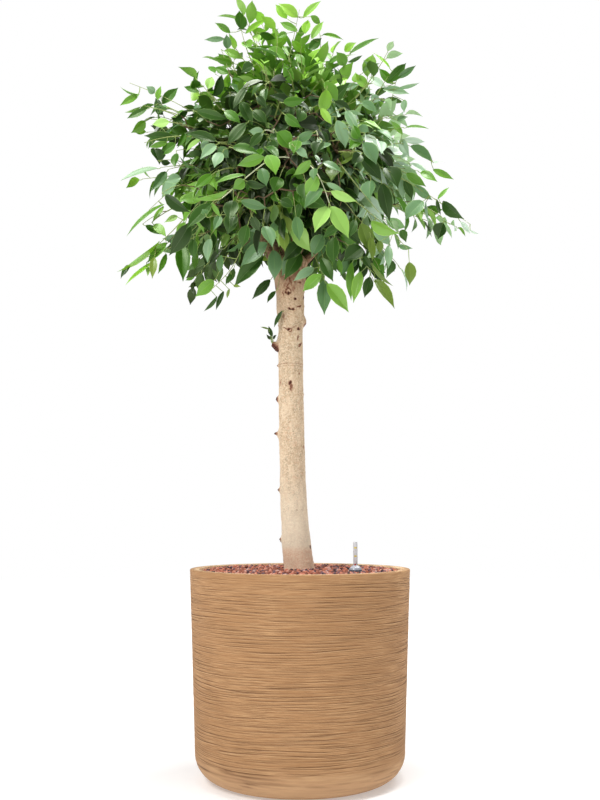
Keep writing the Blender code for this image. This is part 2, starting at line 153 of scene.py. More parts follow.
def shapeNow():
    # into edit mode on the primitive that was just added
    bpy.ops.object.mode_set(mode="EDIT")
    return bpy.context.object


def pick(shape, kind, test):
    bpy.ops.mesh.select_mode(type=kind)
    bpy.ops.mesh.select_all(action="DESELECT")
    body = bmesh.from_edit_mesh(shape.data)
    found = {"VERT": body.verts, "EDGE": body.edges, "FACE": body.faces}[kind]
    for item in found:
        if kind == "VERT":
            middle = item.co
        elif kind == "EDGE":
            middle = (item.verts[0].co + item.verts[1].co) / 2
        else:
            middle = item.calc_center_median()
        if test(middle):
            item.select_set(True)
    body.select_flush_mode()
    bmesh.update_edit_mesh(shape.data)


def pickAll():
    bpy.ops.mesh.select_all(action="SELECT")


def applyAll(shape):
    take(shape)
    bpy.ops.object.transform_apply(location=True, rotation=True, scale=True)
    for modifier in list(shape.modifiers):
        bpy.ops.object.modifier_apply(modifier=modifier.name)


def joined(*shapes):
    take(*shapes)
    bpy.ops.object.join()
    return shapes[0]


def finished(shape, name, paints, replaced=(), smooth=None):
    take(shape)
    shape.name = name
    shape.data.name = name
    for index, paint in enumerate(paints):
        if index < len(shape.data.materials):
            shape.data.materials[index] = paint.material
        else:
            shape.data.materials.append(paint.material)
    if smooth is None:
        bpy.ops.object.shade_smooth()
    else:
        bpy.ops.object.shade_smooth_by_angle(angle=math.radians(smooth))
    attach(shape, "root")
    if replaced:
        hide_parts(*replaced)
    print(f"{name}: {len(shape.data.polygons)} faces")


def pointsOf(mesh):
    flat = np.empty(len(mesh.vertices) * 3, np.float32)
    mesh.vertices.foreach_get("co", flat)
    return flat.reshape(-1, 3).astype(float)


def moveTo(mesh, points):
    mesh.vertices.foreach_set("co", points.astype(np.float32).ravel())
    mesh.update()


def paintMark(mesh, name, values):
    layer = mesh.attributes.new(name, "FLOAT", "POINT")
    layer.data.foreach_set("value", np.asarray(values, np.float32))


def spunProfile(profile, steps, cuts=()):
    # one point is extruded along a profile of (radius, height), then spun about the Z axis
    settle()
    bpy.ops.mesh.primitive_plane_add(size=0.001, location=(profile[0][0], 0, profile[0][1]))
    bpy.ops.object.transform_apply(location=True)
    shape = shapeNow()
    bpy.ops.mesh.select_mode(type="VERT")
    pickAll()
    bpy.ops.mesh.merge(type="CENTER")
    for before, after in zip(profile, profile[1:]):
        shift = (after[0] - before[0], 0, after[1] - before[1])
        bpy.ops.mesh.extrude_region_move(TRANSFORM_OT_translate={"value": shift})
    for low, high, least, number in cuts:
        pick(shape, "EDGE", lambda middle: low < middle.z < high and middle.x > least)
        bpy.ops.mesh.subdivide(number_cuts=number)
    pickAll()
    bpy.ops.mesh.spin(steps=steps, angle=math.tau, center=(0, 0, 0), axis=(0, 0, 1))
    pickAll()
    bpy.ops.mesh.remove_doubles(threshold=0.000005)
    bpy.ops.mesh.normals_make_consistent(inside=False)
    bpy.ops.object.mode_set(mode="OBJECT")
    return shape


def arc(centre, radius, start, end, steps):
    points = []
    for index in range(steps + 1):
        angle = math.radians(start + (end - start) * index / steps)
        points.append((centre[0] + radius * math.cos(angle), centre[1] + radius * math.sin(angle)))
    return points


# camera, light and floor

# the lens is given as its share of the picture's height
cameraSet = {"place": (0.0, -2.0, 0.505), "rise": 6.36, "lensShare": 1005 / 800, "sensor": 36}
bpy.ops.object.camera_add(location=cameraSet["place"], rotation=(math.radians(90 + cameraSet["rise"]), 0, 0))
camera = bpy.context.object
camera.data.sensor_width = cameraSet["sensor"]
camera.data.lens = cameraSet["lensShare"] * camera.data.sensor_width
bpy.context.scene.camera = camera
bpy.context.scene.view_settings.view_transform = "Standard"

# place, size and power of each lamp
studio = {
    "key": ((-1.7, -2.2, 2.9), 1.2, 76), "fill": ((2.3, -2.2, 1.9), 1.8, 5),
    "overhead": ((0.2, -0.3, 3.5), 1.1, 68), "behindRight": ((1.7, 1.2, 3.0), 1.4, 44),
    "behindLeft": ((-1.9, 1.4, 2.6), 1.4, 20),
}
target = Vector((0, 0, 0.9))
for name, (place, size, power) in studio.items():
    bpy.ops.object.light_add(type="AREA", location=place)
    light = bpy.context.object
    light.name = name
    light.data.size = size
    light.data.energy = power
    light.rotation_euler = (target - light.location).to_track_quat("-Z", "Y").to_euler()

world = bpy.data.worlds.new("studioAir")
bpy.context.scene.world = world
world.use_nodes = True
air = world.node_tree
air.nodes["Background"].inputs["Color"].default_value = (1, 1, 1, 1)
air.nodes["Background"].inputs["Strength"].default_value = 0.36
seen = air.nodes.new("ShaderNodeBackground")
seen.inputs["Color"].default_value = (1, 1, 1, 1)
path = air.nodes.new("ShaderNodeLightPath")
blend = air.nodes.new("ShaderNodeMixShader")
air.links.new(path.outputs["Is Camera Ray"], blend.inputs[0])
air.links.new(air.nodes["Background"].outputs[0], blend.inputs[1])
air.links.new(seen.outputs[0], blend.inputs[2])
air.links.new(blend.outputs[0], air.nodes["World Output"].inputs[0])

settle()
bpy.ops.mesh.primitive_circle_add(vertices=96, radius=6.0, fill_type="NGON")
floor = bpy.context.object
floor.name = "floor"
ground = Paint("palePaper", {"Roughness": 0.9})
reach = ground.node("ShaderNodeVectorMath", {"operation": "LENGTH"}, {0: ground.coords()}, "Value")
fade = ground.step(reach, 0.5, 2.6)
ground.dress({
    "Base Color": ground.mix(fade, (0.74, 0.74, 0.74, 1), (0.8, 0.8, 0.8, 1)),
    "Emission Color": ground.mix(fade, (0.46, 0.46, 0.46, 1), (1, 1, 1, 1)),
    "Emission Strength": 0.68,
})
floor.data.materials.append(ground.material)
print("stage is set")


# planter: a turned shell with level grooves in its wall

planter = {
    "footRadius": 0.2015, "footRound": 0.050, "wall": 0.018, "bottom": 0.015, "innerRound": 0.035,
    "rimRound": 0.0020, "rimInner": 0.0020, "steps": 110, "wallCuts": (24, 31), "plainRadius": 0.16,
    "grooveDepth": 0.0009, "grooveTop": 0.390, "grooveFade": 0.012, "grooveLow": 0.006, "footFade": 0.045,
    "footShare": 0.25, "lipShare": 0.6, "lipOff": 1.7, "lipHalf": 0.9, "swell": 0.0003, "innerFrom": 0.30,
    # noise scales round the wall and up it: waves of all lines, with their height; the wander of one line, with
    # its reach; where a line shows, with what is added and the span to its full depth; the swell
    "waves": ((5, 4, 0.0034), (14, 12, 0.0008)), "wander": (3.4, 34, 1.1), "presence": (13, 7.3, 0.18, 0.50),
    "swellGrain": (6, 90),
    # pitch, bar to pass, half width and weight of each set of grooves
    "layers": ((0.0070, -0.03, 0.00080, 1.0), (0.0044, 0.04, 0.00066, 0.85), (0.0029, 0.04, 0.00054, 0.62)),
}


def planterProfile(high):
    mouth = high.x
    tall = high.z
    foot = planter["footRound"]
    points = [(0.0, 0.0)]
    points += arc((planter["footRadius"] - foot, foot), foot, -90, 0, 24)
    points += arc((mouth - planter["rimRound"], tall - planter["rimRound"]), planter["rimRound"], 0, 90, 4)
    inner = mouth - planter["wall"]
    points += arc((inner + planter["rimInner"], tall - planter["rimInner"]), planter["rimInner"], 90, 180, 3)
    soft = planter["innerRound"]
    floorLevel = planter["bottom"]
    corner = (planter["footRadius"] - planter["wall"] - soft, floorLevel + soft)
    points += arc(corner, soft, 0, -90, 3)
    points.append((0.0, floorLevel))
    return points


def grooveAt(place):
    # level lines at an uneven pitch, each coming and going as it runs round the wall
    around = Vector((place.x, place.y, 0))
    level = place.z
    for across, upward, height in planter["waves"]:
        level += noise.noise(around * across + up * place.z * upward) * height
    deep = 0.0
    lip = 0.0
    across, upward, reach = planter["wander"]
    showAcross, showRows, showMore, showSpan = planter["presence"]
    for number, (pitch, bar, half, weight) in enumerate(planter["layers"]):
        phase = level / pitch + noise.noise(around * across + up * (level * upward + number * 9)) * reach
        row = math.floor(phase)
        off = (phase - row - 0.5) * pitch / half
        presence = noise.noise(around * showAcross + up * (row * showRows + number * 31))
        strength = min(max((presence + showMore - bar) / showSpan, 0), 1) * weight
        deep = max(deep, strength * max(0, 1 - off * off) ** 2)
        # the raised lip under each groove, which the paint also lightens as a painted highlight
        lip = max(lip, strength * max(0, 1 - (abs(off + planter["lipOff"]) / planter["lipHalf"]) ** 2))
    across, upward = planter["swellGrain"]
    return deep, lip * (1 - deep), noise.noise(around * across + up * level * upward)


def planterPaint():
    paint = Paint("planterStone", {"Specular IOR Level": 0.35})
    streak = paint.grain(0.034, (1, 1, 0.040), 4.0, 0.6)
    cloud = paint.grain(0.11, (1, 1, 0.4), 2.0)
    body = paint.mix(paint.step(streak, 0.30, 0.72), (160, 116, 76), (198, 155, 110))
    height = paint.height()
    body = paint.over(
        body,
        (paint.step(cloud, 0.35, 0.65) * 0.55, (166, 122, 80)),
        ((1 - paint.step(height, 0.006, 0.075)) * 0.75, (202, 163, 124)),
        # painted highlight: a lighter band along the raised lip under each groove
        (paint.mark("lip") * 0.50, (214, 176, 132)),
        # painted shade: the grooves are painted dark brown, as the shade that falls in their recesses
        (paint.mark("grooveAndShade") * 0.90, (92, 58, 34)),
        # painted highlight: lighter at the top of the rim, where it faces the light from above
        (paint.step(height, 0.3945, 0.3975) * 0.6, (214, 178, 138)),
    )
    # painted light: the inner wall above the granules is painted paler, to stand against the shade it falls in
    # under the rim
    pale = paint.mix(paint.step(streak, 0.40, 0.60), (204, 166, 124), (238, 208, 168))
    body = paint.mix(paint.mark("inner"), body, pale)
    fine = paint.grain(0.0016, (1, 1, 0.6), 2.0)
    paint.dress({
        "Base Color": body,
        "Roughness": 0.70 + streak * 0.18,
        "Normal": paint.bump(fine * 0.4 + streak, 0.0007),
    })
    return paint


def makePlanter():
    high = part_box("pot")[1]
    top = high.z - planter["rimRound"] - 0.001
    least = planter["footRadius"] - 0.002
    cuts = [(planter["footRound"], top, least, number) for number in planter["wallCuts"]]
    shape = spunProfile(planterProfile(high), planter["steps"], cuts)
    points = pointsOf(shape.data)
    grooves = np.zeros(len(points))
    lipHighlights = np.zeros(len(points))
    for index, (x, y, z) in enumerate(points):
        radius = math.hypot(x, y)
        inside = z > planter["bottom"] - 0.001 and radius < planter["footRadius"] - planter["wall"] + 0.016
        if radius < planter["plainRadius"] or z > planter["grooveTop"] or inside and z > planter["footRound"]:
            continue
        grooveAndShade, lip, swell = grooveAt(Vector((x, y, z)))
        keep = min(1, (planter["grooveTop"] - z) / planter["grooveFade"])
        keep *= min(1, planter["footShare"] + max(0, z - planter["grooveLow"]) / planter["footFade"])
        grooves[index] = grooveAndShade * keep
        lipHighlights[index] = lip * keep
        outward = (swell + lip * planter["lipShare"]) * planter["swell"]
        inward = (grooveAndShade * planter["grooveDepth"] - outward) * keep
        points[index, 0] -= x / radius * inward
        points[index, 1] -= y / radius * inward
    moveTo(shape.data, points)
    wallAt = np.interp(points[:, 2], (planter["footRound"], high.z), (planter["footRadius"], high.x))
    inner = np.hypot(points[:, 0], points[:, 1]) < wallAt - planter["rimRound"] * 1.2
    paintMark(shape.data, "inner", inner & (points[:, 2] > planter["innerFrom"]))
    # painted shade: marks where the dark of the grooves is painted
    paintMark(shape.data, "grooveAndShade", grooves)
    # painted highlight: marks the lighter lip under each groove
    paintMark(shape.data, "lip", lipHighlights)
    finished(shape, "planter", [planterPaint()], ["pot"])


makePlanter()


# clay granules: a crowded layer of lumpy pellets over a bed painted dark as the shade between them

pellets = {
    "pitch": 0.0071, "jitter": 0.32, "radius": (0.0030, 0.0040), "crown": 0.3979, "edge": 0.3955,
    "roughTop": 0.0080, "bedLevel": 0.3835, "seed": 21, "shapes": 5, "lump": 0.14, "clearStem": 0.0300,
    "clearCap": 0.0150, "dip": 0.0030, "dipReach": 0.05, "stemX": -0.003, "rowShare": 0.866,
    "stretch": ((0.9, 1.15), (0.9, 1.08), (0.82, 1.0)), "bedMiddle": 0.12, "bedDepth": 0.02,
    # colour, roughness and share of the pellets of each clay; the dark and plum clays are real tones of the
    # granules, given a larger share so that they also stand as painted shade between the pellets
    "clays": {
        "clayRed": ((202, 124, 98), 0.86, 0.28), "clayRose": ((216, 152, 132), 0.88, 0.15),
        "clayBrown": ((158, 96, 76), 0.84, 0.24), "clayPlum": ((122, 90, 96), 0.80, 0.15),
        "clayDark": ((66, 44, 48), 0.78, 0.14), "clayPale": ((212, 172, 160), 0.90, 0.04),
    },
}


def roundedPellet(phase):
    settle()
    bpy.ops.mesh.primitive_cube_add(size=1.2)
    shape = shapeNow()
    pickAll()
    bpy.ops.mesh.subdivide(number_cuts=1)
    bpy.ops.transform.tosphere(value=1.0)
    bpy.ops.object.mode_set(mode="OBJECT")
    points = pointsOf(shape.data)
    for index, point in enumerate(points):
        away = Vector(point).normalized()
        points[index] = away * (1 + pellets["lump"] * noise.noise(away * 1.6 + Vector((phase * 7, 0, 0))))
    corners = [tuple(face.vertices) for face in shape.data.polygons]
    bpy.data.objects.remove(shape)
    return points, corners


def joinedCopies(name, points, corners, slots):
    # points: copies x corners of one copy x 3, slots: copies x faces of one copy
    copies, each = points.shape[:2]
    order = np.concatenate([np.array(face) for face in corners])
    sizes = np.array([len(face) for face in corners])
    starts = np.concatenate([[0], np.cumsum(sizes)[:-1]])
    mesh = bpy.data.meshes.new(name)
    mesh.vertices.add(copies * each)
    mesh.loops.add(copies * len(order))
    mesh.polygons.add(copies * len(corners))
    shift = np.arange(copies)[:, None]
    mesh.vertices.foreach_set("co", points.astype(np.float32).ravel())
    mesh.loops.foreach_set("vertex_index", (order[None] + shift * each).astype(np.int32).ravel())
    mesh.polygons.foreach_set("loop_start", (starts[None] + shift * len(order)).astype(np.int32).ravel())
    mesh.polygons.foreach_set("material_index", np.asarray(slots, np.int32).ravel())
    mesh.update(calc_edges=True)
    mesh.validate()
    shape = bpy.data.objects.new(name, mesh)
    bpy.context.scene.collection.objects.link(shape)
    return shape


def gaugeAxis():
    # the gauge stands upright: its cap's middle is that of its tube and bead too
    low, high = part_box("water_gauge_cap")
    return (low + high) / 2


def pelletPlaces(dice):
    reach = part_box("pot")[1].x - planter["wall"] - 0.002
    cap = gaugeAxis()
    pitch = pellets["pitch"]
    rows = int(reach / pitch / pellets["rowShare"]) + 1
    places = []
    for row in range(-rows, rows + 1):
        for column in range(-rows - 1, rows + 2):
            x = (column + (row % 2) / 2) * pitch + dice.uniform(-1, 1) * pitch * pellets["jitter"]
            y = row * pitch * pellets["rowShare"] + dice.uniform(-1, 1) * pitch * pellets["jitter"]
            radius = dice.uniform(*pellets["radius"])
            away = math.hypot(x, y)
            toCap = math.hypot(x - cap.x, y - cap.y)
            inStem = math.hypot(x - pellets["stemX"], y) < pellets["clearStem"]
            if away > reach - radius * 0.7 or inStem or toCap < pellets["clearCap"]:
                continue
            share = min(1, away / reach)
            level = pellets["crown"] + (pellets["edge"] - pellets["crown"]) * share ** 3
            level -= dice.uniform(0, 1) * pellets["roughTop"] + radius
            level -= max(0, 1 - toCap / pellets["dipReach"]) * pellets["dip"]
            places.append((x, y, level, radius))
    return places


def makeBed():
    level = pellets["bedLevel"]
    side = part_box("pot")[1].x - planter["wall"] + 0.001
    bottom = level - pellets["bedDepth"]
    profile = [(0.0, bottom), (side, bottom), (side, level - 0.004)]
    profile += [(pellets["bedMiddle"], level + 0.001), (0.0, level + 0.002)]
    bed = spunProfile(profile, 64)
    # painted shade: the bed under the pellets is painted dark, as the shade in the gaps between them
    paint = Paint("clayBelowInShade", {"Roughness": 0.95})
    crumbs = paint.grain(0.004, detail=4.0)
    paint.dress({
        "Base Color": paint.mix(crumbs, (48, 28, 28), (104, 62, 54)),
        "Normal": paint.bump(crumbs, 0.002),
    })
    finished(bed, "granule_bed", [paint], smooth=40)


def makeGranules():
    dice = random.Random(pellets["seed"])
    kinds = [roundedPellet(phase) for phase in range(pellets["shapes"])]
    places = pelletPlaces(dice)
    points = []
    slots = []
    paints = [
        Paint(name, {"Base Color": colour, "Roughness": rough})
        for name, (colour, rough, share) in pellets["clays"].items()
    ]
    shares = [share for colour, rough, share in pellets["clays"].values()]
    corners = kinds[0][1]
    for x, y, level, radius in places:
        body = kinds[dice.randrange(len(kinds))][0]
        turn = Matrix.Rotation(dice.uniform(0, math.tau), 3, Vector([dice.gauss(0, 1) for axis in range(3)]))
        stretch = np.array([dice.uniform(*span) for span in pellets["stretch"]])
        points.append((body * stretch * radius) @ np.array(turn).T + (x, y, level))
        slots.append([dice.choices(range(len(paints)), shares)[0]] * len(corners))
    shape = joinedCopies("granules", np.array(points), corners, np.array(slots))
    finished(shape, "granules", paints, ["clay_granules"])


makeGranules()
makeBed()


# water gauge: a flared cap, a pale tube with two yellow marks, a red bead

gauge = {
    "waist": 0.0052, "flare": 0.0124, "flange": 0.0052, "sink": 0.0030, "rise": -0.0012, "soft": 0.0006,
    "tubeWall": 0.0009, "tubeSides": 32, "tubeDepth": 0.006, "trim": 0.0003,
    "marks": ((0.4206, 0.4236), (0.4362, 0.4392)), "markSpread": 36, "beadRadius": 0.0019,
}


def makeCap():
    low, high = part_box("water_gauge_cap")
    middle = gaugeAxis()
    low.z -= gauge["sink"]
    tall = high.z - low.z + gauge["rise"]
    edge = gauge["flare"] - gauge["soft"]
    band = low.z + gauge["flange"]
    crest = low.z + tall + gauge["soft"]
    profile = [(0.0, low.z), (edge, low.z), (gauge["flare"], low.z + 0.0005), (gauge["flare"], band)]
    for index in range(1, 11):
        share = index / 10
        radius = gauge["waist"] + (edge - gauge["waist"]) * math.cos(share * math.pi / 2) ** 0.9
        profile.append((radius, band + 0.0003 + (tall - gauge["flange"]) * share))
    profile += [(gauge["waist"] - gauge["soft"], crest), (0.0, crest)]
    cap = spunProfile(profile, 40)
    moveTo(cap.data, pointsOf(cap.data) + np.array([middle.x, middle.y, 0]))
    paint = Paint("capPlastic", {"Coat Weight": 0.4, "Coat Roughness": 0.12})
    scuff = paint.grain(0.0035)
    height = paint.height()
    shade = paint.step(height, band - 0.0005, band + 0.0006)
    body = paint.mix(shade, (56, 58, 70), (168, 172, 184))
    body = paint.mix(paint.step(height, band + 0.001, band + 0.006), body, (214, 217, 226))
    paint.dress({
        "Base Color": paint.mix(scuff * 0.25, body, (140, 144, 158)),
        "Roughness": 0.16 + scuff * 0.2,
    })
    finished(cap, "gauge_cap", [paint], ["water_gauge_cap"], smooth=45)


def makeTube():
    middle = gaugeAxis()
    low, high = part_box("water_gauge_tube")
    radius = (high.x - low.x) / 2
    settle()
    bpy.ops.mesh.primitive_cylinder_add(
        vertices=gauge["tubeSides"], radius=radius, depth=high.z - low.z,
        location=(middle.x, middle.y, (low.z + high.z) / 2)
    )
    bpy.ops.object.transform_apply(location=True)
    tube = shapeNow()
    for level in [edge for band in gauge["marks"] for edge in band]:
        pickAll()
        bpy.ops.mesh.bisect(plane_co=(0, 0, level), plane_no=(0, 0, 1))
    pick(tube, "FACE", lambda spot: spot.z > high.z - 0.00005)
    bpy.ops.mesh.inset(thickness=gauge["tubeWall"])
    bpy.ops.mesh.extrude_region_move(TRANSFORM_OT_translate={"value": (0, 0, -gauge["tubeDepth"])})
    bpy.ops.object.mode_set(mode="OBJECT")
    trim = tube.modifiers.new("trim", "BEVEL")
    trim.width = gauge["trim"]
    trim.segments = 2
    trim.angle_limit = math.radians(50)
    applyAll(tube)
    for slot in ("tubeBody", "tubeMark"):
        tube.data.materials.append(bpy.data.materials.new(slot))
    for face in tube.data.polygons:
        spot = face.center
        angle = math.degrees(math.atan2(spot.y - middle.y, spot.x - middle.x)) + 90
        within = any(bottom < spot.z < top for bottom, top in gauge["marks"])
        if within and abs(angle) < gauge["markSpread"] and face.normal.z < 0.5:
            face.material_index = 1
    clear = Paint("paleTube", {"Coat Weight": 0.5, "Coat Roughness": 0.08})
    haze = clear.grain(0.006, (1, 1, 3), 2.0)
    clear.dress({
        "Base Color": clear.mix(haze, (204, 205, 208), (228, 229, 232)),
        "Roughness": 0.30 + haze * 0.15,
    })
    yellow = Paint("markYellow", {"Base Color": (226, 202, 96), "Roughness": 0.4})
    finished(tube, "gauge_tube", [clear, yellow], ["water_gauge_tube"], smooth=40)


def makeBead():
    # the red bead shows at the foot of the tube's front
    middle = gaugeAxis()
    low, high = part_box("water_gauge_tube")
    radius = (high.x - low.x) / 2
    settle()
    spot = (middle.x - 0.0006, middle.y - radius + 0.0004, low.z + 0.0004)
    size = gauge["beadRadius"]
    bpy.ops.mesh.primitive_uv_sphere_add(segments=20, ring_count=12, radius=size, location=spot)
    bead = shapeNow()
    pickAll()
    bpy.ops.transform.resize(value=(1, 0.7, 1.1))
    applyAll(bead)
    red = Paint("beadRed", {"Roughness": 0.3, "Coat Weight": 0.3})
    dot = red.grain(0.002)
    red.dress({"Base Color": red.mix(dot, (150, 20, 16), (192, 40, 30))})
    finished(bead, "gauge_bead", [red])


makeCap()
makeTube()
makeBead()


# stem and boughs: a turned stem leaned along its axis and given bark relief, limbs as tapered tubes

stem = {
    "sides": 108, "courses": 20, "cut": 21, "sink": 0.012, "shoulder": 1.006, "headRound": 0.024,
    "ripple": 0.00030, "wrinkle": 0.00030, "lump": 0.0009, "spurDrop": 0.006, "limbPoints": 30, "aside": 0.0017,
    "rag": 2.6, "ragGrain": 230, "bare": 0.01, "footLevel": 0.394, "footFlare": 0.0011, "footFade": 0.016,
    "flareLobes": 5, "spurRadii": (0.0130, 0.0104, 0.0050), "spurSide": (-0.7, 0, 0.7), "spurDark": 0.85,
}
# mark: height, azimuth (-90 is the front), half width, half height and rise in mm, and darkness, then, where it
# has them, a tilt in degrees and 1 for a hollow ring
barkMarks = [
    (0.9437, -97, 5.6, 6.2, 0.6, 0.85, 0, 1), (0.94, -94, 3.2, 3.0, -0.6, 1.0),
    (0.9558, -99, 2.0, 7.4, -0.3, 0.75, -25), (0.9605, -86, 2.2, 8.0, -0.3, 0.7, 12),
    (0.9554, -110, 1.8, 6.0, -0.2, 0.55, -20), (0.9394, -118, 1.8, 6.6, -0.2, 0.75),
    (0.964, -74, 2.0, 8.0, -0.3, 0.6, 22), (0.969, -92, 2.2, 8.0, -0.3, 0.7, 4),
    (0.968, -104, 1.8, 7.0, -0.3, 0.6, -16), (0.9293, -116, 1.6, 1.9, 0.0, 0.4),
    (0.9489, -76, 3.8, 6.9, 0.2, 0.55), (0.9289, -68, 2.6, 2.6, -1.6, 1.0),
    (0.9343, -20, 5.0, 2.4, 1.2, 1.0, 40), (0.9467, -6, 2.4, 1.9, 1.8, 0.6),
    (0.9179, -6, 2.2, 1.9, 1.2, 0.4), (0.9549, -165, 5.0, 3.6, 1.4, 0.9),
    (0.9081, -85, 7.6, 2.1, -1.0, 1.0, -6), (0.9167, -90, 2.1, 2.1, 0.0, 0.3),
    (0.9143, -50, 6.4, 1.7, -0.2, 0.85, 12), (0.9075, -30, 2.6, 1.6, 0.0, 0.5),
    (0.9624, -51, 4.4, 2.4, 0.0, 0.8), (0.888, -4, 9.0, 11.0, 6.4, 0.1), (0.8805, -2, 5.0, 6.0, 2.6, 0.85),
    (0.8945, -122, 3.6, 8.0, 0.0, 0.55), (0.888, -112, 3.0, 2.0, 0.0, 0.45),
    (0.8828, -119, 2.0, 1.8, 0.0, 0.5), (0.8793, 182, 2.4, 2.2, 1.6, 0.7),
    (0.8695, -115, 6.4, 1.6, -0.3, 0.9, -38), (0.866, -94, 4.2, 3.6, 0.4, 0.8, 0, 1),
    (0.8663, -101, 2.6, 2.0, -0.4, 1.0), (0.8722, -70, 4.6, 1.7, 0.0, 0.65, 15),
    (0.8688, -49, 5.0, 3.0, 0.3, 0.9, 20), (0.8602, -121, 1.8, 1.5, 0.0, 0.45),
    (0.8511, -54, 2.6, 6.4, 0.2, 0.75, -20), (0.8375, -37, 9.0, 2.2, 0.3, 0.85, 42),
    (0.8302, -98, 1.9, 3.6, 0.0, 0.3), (0.8076, -96, 1.6, 1.9, 0.0, 0.4),
    (0.8267, -162, 3.2, 2.4, 0.0, 0.95), (0.84, 184, 11.0, 15.0, 5.4, 0.12),
    (0.835, 196, 7.0, 9.0, 1.0, 0.5, 20), (0.851, -143, 5.6, 3.2, 0.0, 0.3),
    (0.7965, 182, 3.4, 3.0, 4.4, 0.85), (0.76, -94, 4.2, 4.4, -0.6, 0.95),
    (0.75, -89, 3.0, 9.4, -0.4, 0.72), (0.7535, -92, 5.2, 12.6, 0.5, 0.25),
    (0.7559, -117, 1.9, 1.5, 0.0, 0.4), (0.7614, -146, 3.0, 5.4, 0.6, 0.55),
    (0.7788, -49, 2.0, 1.8, 0.0, 0.5), (0.7458, -12, 2.2, 2.4, 0.8, 0.6), (0.729, 182, 4.6, 6.4, 6.6, 0.9),
    (0.66, 182, 3.6, 4.8, 7.6, 0.95), (0.66, 182, 9.0, 12.0, 2.6, 0.12),
    (0.6532, -115, 8.5, 4.5, 0.0, 0.16), (0.6321, -24, 3.0, 4.4, 0.2, 0.6),
    (0.5887, -56, 2.6, 1.9, 0.0, 0.45), (0.5791, -80, 4.2, 6.0, 0.0, 0.22),
    (0.5485, 182, 3.2, 3.8, 5.4, 0.9), (0.5095, -76, 1.6, 1.5, 0.0, 0.55), (0.51, -54, 1.7, 1.5, 0.0, 0.55),
    (0.51, -12, 1.8, 1.7, 0.0, 0.6), (0.4515, 182, 3.4, 5.4, 5.0, 0.9), (0.4375, -20, 3.6, 3.6, -1.0, 1.0),
]
barkRings = ((0.7984, 1.2, 0.50), (0.7938, 1.0, 0.40), (0.7060, 0.9, 0.10), (0.6120, 0.9, 0.10))
hiddenMarks = {"count": 40, "seed": 5, "low": 0.42, "high": 0.95}


def stemRings():
    # height, centre and radius of the framed stem at each of its full rings
    levels = {}
    for point in pointsOf(nodes["trunk"].data):
        levels.setdefault(round(point[2], 3), set()).add(tuple(point.round(5)))
    rings = []
    for level, found in sorted(levels.items()):
        ring = np.array(sorted(found))
        if len(ring) == 16:
            centre = (ring.min(0) + ring.max(0)) / 2
            rings.append((level, centre[0] + stem["aside"], np.hypot(*(ring[:, :2] - centre[:2]).T).mean()))
    rings.append((0.999, rings[-1][1], 0.0352))
    return np.array(rings)


stemAxis = stemRings()
fork = np.array([stemAxis[-1][1], 0, 0.986])


def stemAt(height, column):
    # the x of the axis (column 1) or the radius (column 2) at a height
    return np.interp(height, stemAxis[:, 0], stemAxis[:, column])


def smoothLine(points, radii, pieces):
    # a rounder line through the same points
    points = np.asarray(points, float)
    place = np.concatenate([[0], np.cumsum(np.linalg.norm(np.diff(points, axis=0), axis=1))])
    finer = np.linspace(0, place[-1], pieces)
    line = np.stack([np.interp(finer, place, points[:, axis]) for axis in range(3)], 1)
    for sweep in range(3):
        line[1:-1] = (line[:-2] + line[1:-1] * 2 + line[2:]) / 4
    return line, np.interp(finer, place, radii)


def limbLine(node):
    # centre line of a framed bough: its rings of eight, in order from the fork
    points = np.unique(pointsOf(nodes[node].data).round(5), axis=0)
    points = points[np.argsort(np.linalg.norm(points - fork, axis=1))]
    rings = [points[start : start + 8] for start in range(0, len(points) - 7, 8)]
    line = [ring.mean(0) for ring in rings]
    radii = [np.linalg.norm(ring - ring.mean(0), axis=1).mean() for ring in rings]
    return smoothLine(line, radii, stem["limbPoints"])


boughNames = sorted(name for name in nodes if name.startswith("bough_"))
boughLines = {name: limbLine(name) for name in boughNames}


def tubes(name, lines, resolution):
    # lines: (points, radii) each; one curve object with capped ends, made a mesh
    curve = bpy.data.curves.new(name, "CURVE")
    curve.dimensions = "3D"
    curve.bevel_depth = 1.0
    curve.bevel_resolution = resolution
    curve.use_fill_caps = True
    for points, radii in lines:
        spline = curve.splines.new("POLY")
        spline.points.add(len(points) - 1)
        for knot, point, radius in zip(spline.points, points, radii):
            knot.co = (*point, 1)
            knot.radius = radius
    shape = bpy.data.objects.new(name, curve)
    bpy.context.scene.collection.objects.link(shape)
    take(shape)
    bpy.ops.object.convert(target="MESH")
    return bpy.context.object


def lumpy(points, outward, radius):
    # small unevenness of the bark, along each point's own outward direction
    rise = np.zeros(len(points))
    for index, point in enumerate(points):
        spot = Vector(point)
        level = Vector((spot.x, spot.y, spot.z * 3.2))
        small = min(1.0, radius[index] / 0.02)
        rise[index] = noise.noise(spot * 210) * stem["ripple"] + noise.noise(level * 70) * stem["wrinkle"]
        rise[index] += noise.noise(spot * 28) * stem["lump"]
        rise[index] *= small
    return points + outward * rise[:, None]


def spurEnds():
    # foot and tip of the cut spur
    low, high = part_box("sprout_spur")
    middle = (low.z + high.z) / 2 - stem["spurDrop"]
    return np.array([high.x + 0.010, 0, middle - 0.004]), np.array([low.x + 0.004, -0.001, middle + 0.004])


def makeSpur():
    foot, tip = spurEnds()
    spur = tubes("spur", [([foot, foot * 0.5 + tip * 0.5 + (0, 0, -0.001), tip], stem["spurRadii"])], 5)
    points = pointsOf(spur.data)
    moveTo(spur.data, lumpy(points, np.array([stem["spurSide"]]), np.full(len(points), 0.02)))
    points = pointsOf(spur.data)
    # the spur is darker towards its cut tip and towards its underside
    below = (tip[2] + 0.002 - points[:, 2]) / 0.008 + (tip[0] + 0.007 - points[:, 0]) / 0.011
    paintMark(spur.data, "scar", np.clip(below, 0, stem["spurDark"]))
    return spur


